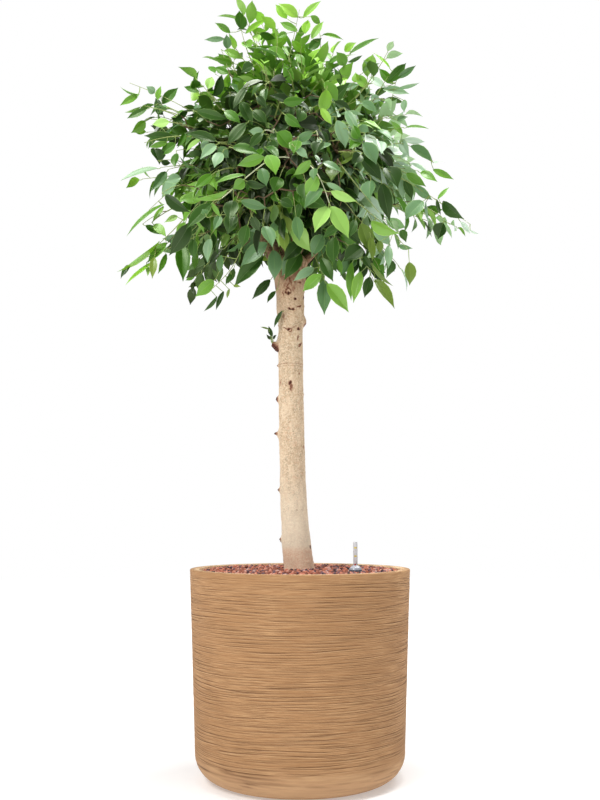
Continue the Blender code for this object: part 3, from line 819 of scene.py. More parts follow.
def hiddenBark():
    # marks set by chance on the sides away from the front
    dice = random.Random(hiddenMarks["seed"])
    found = []
    for index in range(hiddenMarks["count"]):
        size = dice.uniform(1.6, 4.2)
        found.append((
            dice.uniform(hiddenMarks["low"], hiddenMarks["high"]), dice.uniform(0, 172), size,
            size * dice.uniform(0.4, 1.2), dice.choice([-0.8, 0.4, 1.2, 3.0]), dice.uniform(0.4, 0.95),
            dice.uniform(-40, 40), dice.choice([0, 0, 1]),
        ))
    return found


def barkRelief(points, radius, azimuth):
    # how far out and how dark the marks, rings and foot make the bark at each point
    rise = np.zeros(len(points))
    scar = np.zeros(len(points))
    body = radius > stem["bare"]
    warp = np.array([noise.noise_vector(Vector(point) * stem["ragGrain"]) for point in points]) * stem["rag"]
    for height, angle, wide, tall, lift, dark, *more in barkMarks + hiddenBark():
        tilt, hollow = (*more, 0, 0)[:2]
        side = np.radians((azimuth - angle + 180) % 360 - 180) * np.maximum(radius, stem["bare"]) * 1000
        side += warp[:, 0]
        along = (points[:, 2] - height) * 1000 + warp[:, 1]
        cosine, sine = math.cos(math.radians(tilt)), math.sin(math.radians(tilt))
        far = ((side * cosine + along * sine) / wide) ** 2 + ((along * cosine - side * sine) / tall) ** 2
        rise += np.exp(-far * 1.2) * body * lift * 0.001
        near = np.exp(-((np.sqrt(far) - 0.95) / 0.38) ** 2 if hollow else -far * far * 0.8) * body
        scar = np.maximum(scar, near * dark)
    for height, tall, dark in barkRings:
        wander = np.array([noise.noise(Vector((x, y, height)) * 60) for x, y in points[:, :2]]) * 0.0012
        near = np.exp(-(((points[:, 2] - height + wander) / (tall * 0.001)) ** 2))
        rise -= near * 0.0003
        scar = np.maximum(scar, near * dark)
    lobes = np.cos(np.radians(azimuth * stem["flareLobes"] + 40))
    flare = np.exp(-(points[:, 2] - stem["footLevel"]).clip(0) / stem["footFade"]) * lobes
    return rise + flare * stem["footFlare"], scar


def makeStem():
    low = stemAxis[0][0] - stem["sink"]
    profile = [(0.0, low)]
    for level in np.linspace(low, stem["shoulder"], stem["courses"] + 1):
        profile.append((stemAt(level, 2), level))
    last = profile[-1][0]
    for index in range(1, 8):
        angle = math.radians(90 * index / 8)
        profile.append((last * math.cos(angle), stem["shoulder"] + stem["headRound"] * math.sin(angle)))
    profile.append((0.0, stem["shoulder"] + stem["headRound"]))
    shape = spunProfile(profile, stem["sides"], [(low + 0.001, stem["shoulder"], 0.01, stem["cut"])])
    points = pointsOf(shape.data)
    radius = np.hypot(*points[:, :2].T)
    azimuth = np.degrees(np.arctan2(points[:, 1], points[:, 0]))
    outward = points / np.maximum(radius, 0.001)[:, None] * (1, 1, 0)
    rise, scar = barkRelief(points, radius, azimuth)
    points = lumpy(points + outward * rise[:, None], outward, radius)
    points[:, 0] += stemAt(points[:, 2], 1)
    moveTo(shape.data, points)
    paintMark(shape.data, "scar", scar)
    finished(joined(shape, makeSpur()), "stem", [barkPaint()], ["trunk", "sprout_spur"])


def barkPaint():
    paint = Paint("paleBark", {"Specular IOR Level": 0.25})
    height = paint.height()
    mottle = paint.grain(0.016, (1, 1, 1.5), 4.0, 0.65)
    speck = paint.grain(0.0030, (1, 1, 0.8), 3.0, 0.7)
    patch = paint.grain(0.009, (1, 1, 3.2))
    warm = paint.grain(0.007)
    body = paint.mix(paint.step(mottle, 0.30, 0.70), (208, 180, 148), (224, 200, 170))
    fleck = paint.grain(0.0036, detail=2.0)
    grey = paint.step(speck, 0.43, 0.64) * paint.step(patch, 0.40, 0.56)
    rosy = (1 - paint.step(height, 0.426, 0.442)) * (0.30 + paint.step(speck, 0.44, 0.60) * 0.40)
    collar = paint.step(height, 0.935, 0.985) * paint.step(mottle, 0.40, 0.60)
    body = paint.over(
        body,
        (paint.step(fleck, 0.50, 0.64) * 0.44, (246, 230, 202)),
        ((1 - paint.step(fleck, 0.34, 0.47)) * 0.34, (192, 156, 124)),
        (grey * (0.50 + paint.step(height, 0.44, 0.56) * 0.14), (144, 120, 94)),
        (paint.step(warm, 0.56, 0.72) * 0.40, (206, 158, 126)),
        # painted light: the stem is painted paler towards its foot, to undo the shade that falls on it low down
        ((1 - paint.step(height, 0.44, 0.62)) * 0.56, (255, 242, 218)),
        (rosy, (226, 176, 142)),
        (paint.step(height, 0.84, 0.985) * 0.42, (190, 142, 108)),
        (collar * 0.85, (112, 68, 48)),
    )
    scar = paint.mark("scar") * (0.30 + speck * 1.4)
    dark = paint.mix(paint.step(scar, 0.55, 0.95), (140, 84, 62), (58, 34, 26))
    body = paint.mix(paint.step(scar, 0.05, 0.80), body, dark)
    paint.dress({
        "Base Color": body,
        "Roughness": 0.74 + speck * 0.16,
        "Normal": paint.bump(speck + mottle * 0.6, 0.0010),
    })
    return paint


def makeBoughs():
    lines = []
    for name in boughNames:
        line, thick = boughLines[name]
        start = fork + (line[0] - fork) * 0.3
        lines.append((np.concatenate([[start], line]), np.concatenate([[thick[0] * 1.35], thick])))
    shape = tubes("boughs", lines, 4)
    points = pointsOf(shape.data)
    outward = np.empty(len(points) * 3, np.float32)
    shape.data.vertices.foreach_get("normal", outward)
    moveTo(shape.data, lumpy(points, outward.reshape(-1, 3).astype(float), np.full(len(points), 0.012)))
    paint = Paint("boughBark", {})
    speck = paint.grain(0.004, rough=0.6)
    patch = paint.grain(0.026)
    body = paint.mix(paint.step(speck, 0.35, 0.68), (112, 80, 56), (164, 128, 94))
    paint.dress({
        "Base Color": paint.mix(paint.step(patch, 0.45, 0.65) * 0.6, body, (104, 92, 68)),
        "Roughness": 0.70 + speck * 0.2,
        "Normal": paint.bump(speck + patch, 0.0010),
    })
    finished(shape, "boughs", [paint], boughNames)


makeStem()
makeBoughs()


# crown: shoots are planned on the framed masses, then branches join them to the boughs

crown = {
    "seed": 8, "heart": (-0.0215, 0.0, 1.205), "outerShoots": 330, "innerShoots": 110, "startReach": 0.62,
    "outerDepth": 0.54, "innerDepth": 0.74, "wiggle": 0.012, "pathWeight": 0.42, "backtrack": 1.6,
    "joint": 0.022, "twigRadius": 0.0009, "thicken": 0.44, "thickest": 0.0050, "scatter": 0.07,
    "outerReach": (0.76, 0.94), "underReach": (0.68, 0.85), "topReach": (0.84, 1.0), "innerReach": (0.75, 1.05),
    "innerFoot": 0.45, "footSpan": (0.85, 1.15), "clearWay": 0.024, "clearDepth": 0.012, "clearSpray": 0.030,
    "sprayDepth": 0.05, "sprayStop": 0.034, "sprayApart": 0.042, "sprayRoot": 0.28, "sprayMost": 3,
    "handDepth": 0.014, "handLean": 0.016, "handRoll": 0.70, "leastWidth": 0.13, "handGap": 0.030,
    "handTwig": (0.055, 0.012, 0.007), "frontDepth": -0.30, "frontRadii": (0.0013, 0.0008),
    "tipRadius": 0.0005, "pieces": 7, "footBlur": 0.014, "liftBlur": 0.020, "lift": (0.22, 0.10),
    "topLeaf": 0.88, "topShoots": 230, "topLevel": 0.62, "woodFrom": 8, "wayStep": 0.002, "bend": 0.45,
}
heart = Vector(crown["heart"])
foliage = sorted(name for name in nodes if name.startswith("foliage_"))
sprays = [name for name in foliage if name.startswith("foliage_spray_")]
masses = [name for name in foliage if name not in sprays]
# main shoots of the show side and the outline: points from foot to tip, in mm
leadShoots = [
    [(-28, 0, 1420), (-12, -10, 1490), (-1, -10, 1545)],
    [(-85, 0, 1400), (-112, -10, 1460), (-122, -10, 1500)],
    [(30, 0, 1400), (45, -10, 1470), (40, -10, 1500)],
    [(75, -20, 1380), (95, -20, 1430), (105, -20, 1450)],
    [(-180, -40, 1290), (-275, -50, 1340), (-345, -50, 1368)],
    [(-185, -60, 1250), (-260, -70, 1250), (-310, -70, 1235)],
    [(-215, -60, 1160), (-260, -60, 1140), (-300, -60, 1100)],
    [(-215, -60, 1100), (-250, -60, 1060), (-285, -60, 1025)],
    [(-110, -120, 1010), (-130, -120, 965), (-170, -120, 925)],
    [(110, -120, 1190), (200, -110, 1150), (270, -100, 1105), (330, -100, 1060)],
    [(150, -40, 1270), (185, -40, 1330), (195, -35, 1375)],
    [(160, -30, 1240), (210, -30, 1255), (265, -30, 1215)],
    [(75, -190, 1100), (125, -190, 1060), (170, -190, 1020), (200, -190, 985)],
    [(85, -150, 1010), (115, -150, 975), (140, -150, 950)],
    [(35, -100, 1030), (44, -120, 990), (48, -130, 965)],
    [(-20, -220, 1150), (-50, -300, 1125), (-95, -310, 1080), (-135, -310, 1045)],
    [(0, -220, 1130), (16, -310, 1110), (36, -330, 1080), (50, -330, 1030)],
    [(75, -260, 1120), (105, -270, 1075), (140, -260, 1035)],
]
# leaves placed one by one, by spray: depth in metres and tones, then each leaf's foot x, foot z, tip x, tip z
# and half width in mm, and its own y in mm where its spray has no depth
placedLeaves = {
    "topLeft": (-0.01, "fresh lime fresh leafy sheen", (
        (-123, 1501, -127, 1543, 13), (-145, 1494, -177, 1516, 7), (-157, 1481, -199, 1479, 6),
        (-151, 1459, -153, 1491, 9), (-113, 1492, -69, 1524, 6), (-113, 1475, -102, 1455, 12),
        (-157, 1455, -118, 1436, 9), (-136, 1428, -180, 1439, 7), (-111, 1433, -135, 1416, 11),
        (-148, 1406, -177, 1419, 8),
    )),
    "top": (-0.01, "fresh lime fresh fresh leafy", (
        (-6, 1528, -45, 1558, 11), (-28, 1525, -51, 1556, 10), (-5, 1499, -42, 1517, 8),
        (7, 1526, 44, 1564, 7), (-5, 1527, -23, 1552, 8), (22, 1531, 43, 1512, 7), (11, 1492, 17, 1523, 9),
        (24, 1481, 49, 1519, 8), (47, 1490, 90, 1479, 4), (19, 1457, 45, 1483, 10),
        (-66, 1461, -25, 1433, 10), (-80, 1419, -55, 1401, 7), (-83, 1494, -50, 1482, 8),
        (-28, 1494, -47, 1483, 7), (-17, 1477, 13, 1449, 8), (-9, 1448, 11, 1421, 8),
    )),
    "topRight": (-0.02, "fresh lime leafy leafy fresh", (
        (103, 1443, 164, 1478, 5), (92, 1449, 116, 1468, 8), (93, 1418, 75, 1448, 12),
        (99, 1426, 129, 1441, 4), (54, 1428, 70, 1412, 9), (185, 1412, 150, 1446, 3),
        (118, 1382, 114, 1404, 8), (59, 1423, 93, 1442, 5),
    )),
    "rightUpper": (-0.035, "sheen silver leafy silver sheen fresh", (
        (179, 1377, 217, 1417, 11), (198, 1384, 237, 1412, 7), (190, 1373, 161, 1406, 9),
        (200, 1364, 244, 1375, 4), (169, 1360, 223, 1351, 8), (213, 1339, 212, 1312, 7),
        (173, 1366, 139, 1388, 8), (138, 1364, 112, 1394, 10), (88, 1360, 121, 1372, 7),
        (144, 1345, 164, 1338, 9),
    )),
    "rightSide": (-0.03, "silver sheen silver fresh", (
        (216, 1282, 263, 1279, 3), (208, 1267, 184, 1297, 6), (198, 1296, 220, 1305, 6),
        (210, 1258, 254, 1252, 7), (224, 1243, 271, 1207, 10), (204, 1258, 222, 1220, 10),
        (269, 1208, 295, 1210, 2), (244, 1188, 278, 1168, 8), (269, 1194, 311, 1173, 7),
        (186, 1207, 224, 1201, 8),
    )),
    "rightLong": (-0.1, "sheen silver fresh sheen mid", (
        (168, 1173, 191, 1131, 17), (207, 1162, 246, 1135, 9), (197, 1151, 200, 1110, 8),
        (223, 1139, 258, 1108, 9), (239, 1106, 204, 1068, 15), (278, 1106, 319, 1070, 11),
        (266, 1110, 274, 1077, 4), (268, 1110, 291, 1134, 4), (278, 1063, 268, 1030, 14),
        (311, 1065, 330, 1041, 5), (245, 1106, 251, 1062, 3), (203, 1149, 218, 1108, 9),
        (329, 1049, 348, 1041, 2),
    )),
    "lowerRight": (-0.19, "sheen fresh sheen olive mid", (
        (132, 1039, 184, 1016, 11), (134, 1027, 167, 992, 12), (112, 1035, 129, 981, 14),
        (187, 1023, 196, 999, 8), (181, 994, 208, 988, 5), (163, 994, 163, 950, 8),
        (201, 962, 201, 918, 11), (147, 1002, 147, 978, 7), (130, 1010, 133, 964, 7),
    )),
    "hangingRight": (-0.15, "olive mid olive fresh", (
        (98, 972, 96, 898, 8), (114, 954, 100, 894, 10), (140, 939, 177, 883, 10), (135, 972, 175, 926, 4),
        (119, 983, 133, 960, 7), (71, 978, 77, 947, 5),
    )),
    "underRight": (-0.13, "mid leafy sheen", (
        (41, 985, 63, 939, 12), (27, 966, -13, 940, 9), (46, 943, 46, 875, 14),
    )),
    "underFresh": (-0.13, "fresh", (
        (41, 953, 5, 920, 11), (51, 935, 92, 880, 14),
    )),
    "paleEnd": (-0.33, "pale", (
        (48, 1023, 25, 978, 13), (53, 1024, 83, 968, 14), (53, 1051, 98, 1033, 8),
    )),
    "paleTwig": (-0.33, "fresh sheen fresh sheen", (
        (39, 1055, 7, 1020, 10), (45, 1066, 76, 1052, 5), (30, 1077, 9, 1042, 12), (25, 1091, 23, 1070, 7),
        (39, 1102, 73, 1084, 6), (18, 1106, -11, 1079, 8), (35, 1100, 24, 1117, 3),
    )),
    "brightMiddle": (None, "lime fresh", (
        (48, 1264, 37, 1216, 12, -256), (44, 1291, 69, 1251, 11, -227), (37, 1219, 57, 1188, 7, -280),
    )),
    "frontRight": (None, "mid sheen mid mid sheen leafy", (
        (62, 1246, 93, 1230, 7, -243), (65, 1193, 80, 1142, 13, -289), (110, 1166, 86, 1141, 10, -287),
        (112, 1160, 136, 1120, 13, -267), (109, 1141, 147, 1097, 13, -248),
        (129, 1106, 128, 1070, 14, -221), (151, 1108, 165, 1036, 14, -199), (114, 991, 80, 964, 16, -185),
        (100, 1031, 89, 998, 8, -225), (72, 1017, 41, 994, 8, -232), (2, 1213, -7, 1188, 11, -286),
        (105, 1161, 94, 1188, 9, -285), (82, 1217, 104, 1177, 9, -275), (-8, 1133, 14, 1113, 7, -319),
        (22, 1161, -10, 1144, 8, -314), (36, 1143, 25, 1119, 11, -313), (105, 1185, 123, 1176, 8, -280),
        (115, 1265, 144, 1244, 8, -199), (9, 1081, 8, 1051, 12, -279), (-7, 1025, -1, 980, 11, -269),
        (87, 1175, 110, 1151, 9, -287), (107, 1135, 91, 1118, 11, -275),
    )),
    "leftUpper": (-0.05, "fresh leafy sheen fresh mid pale", (
        (-326, 1343, -364, 1320, 7), (-294, 1347, -311, 1361, 8), (-278, 1323, -246, 1358, 10),
        (-309, 1313, -349, 1293, 7), (-322, 1318, -354, 1306, 3), (-312, 1288, -340, 1263, 10),
        (-251, 1253, -314, 1257, 10), (-263, 1285, -298, 1280, 9), (-324, 1344, -364, 1360, 2),
        (-211, 1357, -216, 1377, 11), (-186, 1355, -178, 1381, 10), (-176, 1340, -158, 1387, 10),
        (-203, 1349, -235, 1360, 6), (-287, 1332, -281, 1362, 6), (-227, 1308, -259, 1285, 6),
    )),
    "leftSide": (-0.07, "sheen leafy mid fresh sheen", (
        (-247, 1233, -278, 1209, 10), (-290, 1223, -279, 1190, 14), (-246, 1213, -248, 1184, 8),
        (-282, 1182, -356, 1157, 5), (-265, 1175, -294, 1136, 10), (-243, 1159, -273, 1122, 12),
        (-264, 1235, -301, 1225, 6), (-228, 1256, -244, 1224, 6), (-276, 1197, -256, 1193, 6),
        (-237, 1164, -267, 1155, 10),
    )),
    "leftLow": (-0.06, "olive fresh pale leafy lime", (
        (-269, 1112, -343, 1047, 4), (-270, 1108, -293, 1074, 5), (-289, 1071, -264, 1045, 9),
        (-306, 1069, -270, 1050, 7), (-278, 1038, -361, 975, 5), (-263, 1034, -301, 993, 9),
        (-285, 997, -344, 948, 4), (-288, 1004, -291, 961, 8), (-264, 1012, -280, 971, 6),
        (-302, 988, -300, 966, 4), (-243, 1088, -269, 1075, 6),
    )),
    "overFork": (None, "mid sheen mid", (
        (-65, 1033, -117, 986, 15, -62), (-72, 1006, -130, 944, 15, -62), (-53, 1019, -51, 958, 15, -62),
        (0, 1013, -31, 958, 15, -62), (4, 1017, -31, 981, 15, -123), (-18, 1013, -36, 966, 14, -62),
        (64, 1014, 63, 961, 13, -175), (43, 1031, 22, 986, 14, -129),
    )),
    "frontLeft": (None, "mid sheen mid leafy mid mid", (
        (-249, 1087, -202, 1054, 11, -198), (-192, 1244, -132, 1228, 9, -207),
        (-153, 1178, -206, 1193, 9, -229), (-151, 1162, -180, 1135, 9, -252),
        (-234, 1029, -230, 955, 15, -62), (-162, 1063, -207, 1016, 12, -219),
        (-207, 1043, -245, 982, 16, -161), (-201, 1018, -198, 978, 10, -145),
        (-173, 1027, -177, 980, 9, -115), (-150, 996, -153, 960, 7, -111),
        (-109, 1255, -86, 1207, 11, -223), (-98, 1212, -133, 1172, 10, -227),
        (-98, 1277, -122, 1235, 7, -238), (-65, 1182, -93, 1187, 9, -255), (-66, 1158, -89, 1130, 8, -320),
        (-89, 1185, -121, 1163, 9, -241), (-122, 1161, -73, 1149, 9, -242),
        (-147, 1157, -128, 1137, 10, -254), (-140, 1147, -154, 1119, 10, -253),
        (-40, 1166, -14, 1134, 14, -302), (-162, 1121, -193, 1095, 9, -211),
        (-183, 1045, -163, 1012, 10, -214), (-122, 1046, -131, 1004, 13, -223),
        (-94, 1018, -103, 976, 11, -237), (-64, 1009, -49, 971, 12, -260), (-104, 1046, -57, 1033, 9, -291),
        (-53, 1242, -78, 1212, 10, -236), (-30, 1240, 11, 1245, 9, -258), (-83, 1302, -106, 1288, 9, -273),
        (-78, 1253, -59, 1228, 7, -254), (-26, 1205, 3, 1181, 9, -286), (-83, 1020, -70, 993, 8, -285),
        (-4, 1145, -11, 1121, 11, -318), (-36, 1086, -46, 1058, 13, -297), (-34, 1045, -11, 1032, 9, -299),
        (-146, 1042, -158, 1015, 8, -213), (-114, 1031, -124, 1010, 7, -249),
        (-139, 1239, -109, 1215, 9, -219), (-86, 1236, -60, 1211, 10, -229),
        (-128, 1265, -120, 1227, 10, -227), (-171, 1041, -177, 1051, 7, -227),
    )),
    "frontTwig": (-0.31, "sheen fresh mid fresh fresh", (
        (-62, 1119, -110, 1103, 10), (-55, 1122, -42, 1086, 13), (-68, 1098, -58, 1066, 11),
        (-94, 1086, -150, 1069, 4), (-97, 1077, -117, 1061, 10), (-92, 1075, -57, 1067, 7),
        (-126, 1060, -188, 1044, 5), (-115, 1040, -123, 1004, 13), (-156, 1040, -178, 1047, 4),
        (-152, 1036, -137, 1011, 4),
    )),
    "hangingSprig": (-0.12, "mid olive deep", (
        (-130, 956, -142, 935, 5), (-134, 928, -139, 909, 3), (-145, 923, -160, 886, 5),
        (-158, 914, -183, 884, 4), (-127, 934, -113, 932, 3),
    )),
    "besideStem": (-0.05, "mid fresh", (
        (-59, 962, -95, 922, 9), (-48, 939, -65, 915, 5),
    )),
}


def treeOf(names):
    spots = []
    corners = []
    for name in names:
        mesh = nodes[name].data
        base = len(spots)
        spots += [vertex.co.copy() for vertex in mesh.vertices]
        corners += [[base + corner for corner in face.vertices] for face in mesh.polygons]
    return BVHTree.FromPolygons(spots, corners)


def blur(dice, size):
    return Vector([dice.gauss(0, size) for axis in range(3)])


def evenDirections(count, dice):
    found = []
    for index in range(count):
        level = 1 - (2 * index + 1) / count
        angle = index * math.pi * (3 - math.sqrt(5))
        side = math.sqrt(1 - level * level)
        direction = Vector((side * math.cos(angle), side * math.sin(angle), level))
        found.append((direction + blur(dice, crown["scatter"])).normalized())
    return found


def sprayToneAndLight(direction, dice):
    # which tone a shoot takes, by where it points and by chance. This paints light: shoots to the right take
    # mostly the silvery and sheen tones, painted sheen of the light from behind; shoots to the top take lime,
    # fresh and pale, young growth that is also painted light through the leaves; the front and low shoots take
    # a large share of the deep tone as painted shade
    if direction.x > 0.55:
        shares = {"sheen": 0.22, "silver": 0.54, "leafy": 0.02, "mid": 0.08, "pale": 0.14}
    elif direction.z > 0.60:
        shares = {"lime": 0.34, "fresh": 0.36, "leafy": 0.05, "sheen": 0.07, "pale": 0.18}
    elif direction.x < -0.70:
        shares = {"fresh": 0.22, "pale": 0.12, "sheen": 0.18, "mid": 0.22, "leafy": 0.12, "deep": 0.14}
    elif direction.z > 0.0:
        shares = {"fresh": 0.10, "leafy": 0.05, "sheen": 0.17, "mid": 0.18, "deep": 0.34, "pale": 0.16}
    else:
        shares = {
            "fresh": 0.08, "leafy": 0.06, "sheen": 0.13, "mid": 0.22, "deep": 0.39, "olive": 0.05, "pale": 0.07,
        }
    return dice.choices(list(shares), list(shares.values()))[0]


def bent(foot, tip, lift, pieces):
    # a shoot rises from its foot and arches over to its tip
    middle = (foot + tip) / 2 + lift
    line = []
    for index in range(pieces + 1):
        share = index / pieces
        line.append(foot * (1 - share) ** 2 + middle * 2 * share * (1 - share) + tip * share ** 2)
    return line


def shoot(line, kind, size, leafy=True, far=False):
    return {"line": line, "tone": kind, "size": size, "leafy": leafy, "far": far}


def planShoots(dice):
    found = []
    skin = treeOf(masses)
    for name in ("outerShoots", "innerShoots", "topShoots"):
        outer = name != "innerShoots"
        depth = crown["outerDepth" if outer else "innerFoot"]
        for direction in evenDirections(crown[name], dice):
            if name == "topShoots" and direction.z < crown["topLevel"] or not outer and direction.z > 0.5:
                continue
            start = heart + direction * crown["startReach"]
            hit = skin.ray_cast(start, -direction, crown["startReach"] - 0.05)
            if hit[0] is None:
                continue
            reach = (hit[0] - heart).length
            span = crown["topReach" if max(direction.z, direction.x) > 0.6 else "outerReach"]
            span = crown["underReach"] if direction.z < -0.15 else span
            reach *= dice.uniform(*span) if outer else crown["innerDepth"] * dice.uniform(*crown["innerReach"])
            tip = heart + direction * reach
            foot = heart + direction * reach * depth * dice.uniform(*crown["footSpan"])
            foot += blur(dice, crown["footBlur"])
            lift = up * (tip - foot).length * (crown["lift"][0] - crown["lift"][1] * direction.z)
            lift += blur(dice, crown["liftBlur"])
            # inner shoots all take the deep tone, as painted shade inside the crown
            kind = sprayToneAndLight(direction, dice) if outer else "deep"
            size = dice.uniform(0.88, 1.12) * (crown["topLeaf"] if direction.z > 0.5 else 1)
            found.append(shoot(bent(foot, tip, lift, crown["pieces"]), kind, size))
    for name in sprays:
        found += sprayShoots(name, dice)
    for points in leadShoots:
        line = smoothLine(np.array(points) / 1000, [1] * len(points), 9)[0]
        found.append(shoot([Vector(point) for point in line], "fresh", 1.0, False))
    return found


def sprayShoots(name, dice):
    # up to three shoots fan out to a framed spray's far corners
    corners = [vertex.co.copy() for vertex in nodes[name].data.vertices]
    corners.sort(key=lambda spot: -(spot - heart).length)
    tips = []
    for spot in corners:
        apart = min(((spot - other).length for other in tips), default=1)
        if len(tips) < crown["sprayMost"] and apart > crown["sprayApart"]:
            tips.append(spot)
    inner = corners[-1].lerp(heart, crown["sprayRoot"])
    found = []
    for tip in tips:
        outward = (tip - heart).normalized()
        tip = tip - outward * crown["sprayStop"]
        foot = inner.lerp(tip, dice.uniform(0.0, 0.2))
        lift = up * (tip - foot).length * 0.13 + blur(dice, 0.008)
        kind = sprayToneAndLight(outward, dice)
        found.append(shoot(bent(foot, tip, lift, crown["pieces"]), kind, dice.uniform(0.80, 0.95), True, True))
    return found


def nearestWood(spot, lines):
    # the closest point of the lead shoots and its distance
    best = min((point for line in lines for point in line), key=lambda point: (point - spot).length)
    return best, (best - spot).length


def alongSight(spot, shift):
    # the point moved towards or from the camera, still showing at the same place
    return camera.location + (spot - camera.location) * (1 + shift / (spot.y - camera.location.y))


def setHandLeaves(planned, dice):
    # each placed leaf hangs from a lead shoot beside it or, with none near, from a twig of its own
    lines = [each["line"] for each in planned if not each["leafy"]]
    found = []
    for sprayDepth, tones, leaves in placedLeaves.values():
        for x0, z0, x1, z1, half, *own in leaves:
            depth = own[0] / 1000 if own else sprayDepth
            half /= 1000
            shift = dice.uniform(-1, 1) * crown["handDepth"]
            foot = alongSight(Vector((x0 / 1000, depth, z0 / 1000)), shift)
            shift += dice.uniform(-1, 1) * crown["handLean"]
            tip = alongSight(Vector((x1 / 1000, depth, z1 / 1000)), shift)
            along = (tip - foot).normalized()
            toEye = (camera.location - foot).normalized()
            toEye = (toEye - along * toEye.dot(along)).normalized()
            across = along.cross(toEye)
            across *= -1 if across.z < 0 else 1
            tilted = half / math.cos(dice.uniform(0, crown["handRoll"]))
            real = max(tilted, (tip - foot).length * crown["leastWidth"])
            roll = math.acos(min(1, half / real)) * dice.choice((1, 1, 1, -1))
            normal = toEye * math.cos(roll) + across * math.sin(roll)
            wood, gap = nearestWood(foot, lines)
            if gap > crown["handGap"]:
                inward, back, below = crown["handTwig"]
                wood = foot - along * below
                start = wood + (heart - foot).normalized() * inward - along * back
                line = bent(start, wood, up * 0.004, 4)
                planned.append(shoot(line, "mid", 1.0, False))
            arch = dice.uniform(0.15, 0.6)
            found.append({
                "wood": wood, "foot": foot, "tone": dice.choice(tones.split()), "arch": arch, "calm": 0.25,
                "length": (tip - foot).length * arch / 2 / math.sin(arch / 2), "width": real,
                "direction": along * math.cos(arch / 2) + normal * math.sin(arch / 2),
                "normal": normal * math.cos(arch / 2) - along * math.sin(arch / 2),
            })
    return found


def seenAt(spot):
    # where a point shows on a plane two metres from the camera
    offset = spot - camera.location
    scale = -camera.location.y / offset.y
    return Vector((offset.x * scale, offset.z * scale))


def leafMiddle(each):
    return each["foot"] + each["direction"] * each["length"] * 0.5


def keepsClear(each, placed, far):
    # true for a leaf that hides no placed leaf of the show side
    middle = leafMiddle(each)
    seen = seenAt(middle)
    for spot, depth in placed:
        apart = (spot - seen).length
        if apart < crown["clearWay"] and middle.y < depth + crown["clearDepth"]:
            return False
        if far and apart < crown["clearSpray"] and middle.y < depth + crown["sprayDepth"]:
            return False
    return True


def growBranches(planned, dice):
    # each shoot's foot joins the nearest wood, where near also counts the way back to its bough
    places = []
    parents = []
    ways = []
    for name in boughNames:
        for index, spot in enumerate(boughLines[name][0]):
            if index > crown["woodFrom"]:
                places.append(spot)
                parents.append(-1)
                ways.append(index * crown["wayStep"])
    loads = [0] * len(places)
    joins = []
    center = np.array(heart)
    for each in sorted(planned, key=lambda one: (one["line"][0] - heart).length):
        foot = np.array(each["line"][0])
        wood = np.array(places)
        apart = np.linalg.norm(wood - foot, axis=1)
        over = np.maximum(0, np.linalg.norm(wood - center, axis=1) - np.linalg.norm(foot - center))
        joint = int(np.argmin(apart + np.array(ways) * crown["pathWeight"] + over * crown["backtrack"]))
        gap = apart[joint]
        steps = max(2, int(gap / crown["joint"]))
        ahead = np.array(each["line"][1]) - foot
        bend = foot - ahead / np.linalg.norm(ahead) * gap * crown["bend"]
        bend += np.array(blur(dice, 1)) * crown["wiggle"] * min(1, gap / 0.06)
        chain = [joint]
        for step in range(1, steps + 1):
            share = step / steps
            places.append(wood[joint] * (1 - share) ** 2 + bend * 2 * share * (1 - share) + foot * share ** 2)
            parents.append(chain[-1])
            ways.append(ways[chain[-1]] + gap / steps)
            loads.append(0)
            chain.append(len(places) - 1)
        joins.append((each, chain))
        climb = chain[-1]
        while climb >= 0:
            loads[climb] += 1
            climb = parents[climb]
    return places, loads, joins


def makeBranches(planned, dice):
    places, loads, joins = growBranches(planned, dice)
    woody = []
    green = []
    pale = []
    for each, chain in joins:
        radii = [crown["twigRadius"] * max(loads[spot], 1) ** crown["thicken"] for spot in chain]
        radii = [min(crown["thickest"], radius) for radius in radii]
        radii[0] = radii[1]
        woody.append(([places[spot] for spot in chain], radii))
        line = each["line"]
        if not each["leafy"] and line[-1].y < crown["frontDepth"]:
            pale.append((line, np.linspace(*crown["frontRadii"], len(line))))
        else:
            green.append((line, np.linspace(radii[-1], crown["tipRadius"], len(line))))
    paint = Paint("branchBark", {})
    speck = paint.grain(0.003)
    patch = paint.grain(0.02, detail=2.0)
    body = paint.mix(speck, (78, 54, 38), (124, 94, 66))
    paint.dress({
        "Base Color": paint.mix(patch * 0.5, body, (96, 84, 58)),
        "Roughness": 0.66 + speck * 0.2,
        "Normal": paint.bump(speck, 0.0006),
    })
    finished(tubes("branches", woody, 1), "branches", [paint])
    stalk = Paint("greenTwig", {"Roughness": 0.5, "Base Color": (142, 156, 84)})
    cream = Paint("creamTwig", {"Roughness": 0.55, "Base Color": (212, 216, 178)})
    both = [tubes("twigs", green, 0), tubes("frontTwigs", pale, 1)]
    for shape, paint in zip(both, (stalk, cream)):
        shape.data.materials.append(paint.material)
    finished(joined(*both), "twigs", [stalk, cream])


# leaves: one leaf is modelled, then bent, turned and set along every shoot

leaf = {
    "rows": (0.0, 0.06, 0.22, 0.43, 0.63, 0.80, 0.91, 1.0),
    "halfWidths": (0.04, 0.34, 0.80, 1.0, 0.88, 0.50, 0.17, 0.015),
    "ribHalf": 0.035, "margin": 0.92, "bulge": 0.17, "under": 0.010, "length": 0.057, "width": 0.0134,
    "stalk": 0.009, "stalkRadii": (0.0009, 0.0007, 0.0006), "spacing": 0.0158, "bareFoot": 0.12, "lean": 0.42,
    "waver": 0.26, "stray": 0.10, "lastFrom": 0.93, "youngFrom": 0.80, "oldTo": 0.45, "youngSize": (0.62, 0.85),
    "sizes": (0.72, 1.12), "lengths": (0.9, 1.1), "widths": (0.88, 1.14), "arches": (0.1, 1.1),
    "folds": (0.12, 0.62), "waves": (0.0, 0.10), "phases": (0.0, 6.3), "twist": 0.2,
}


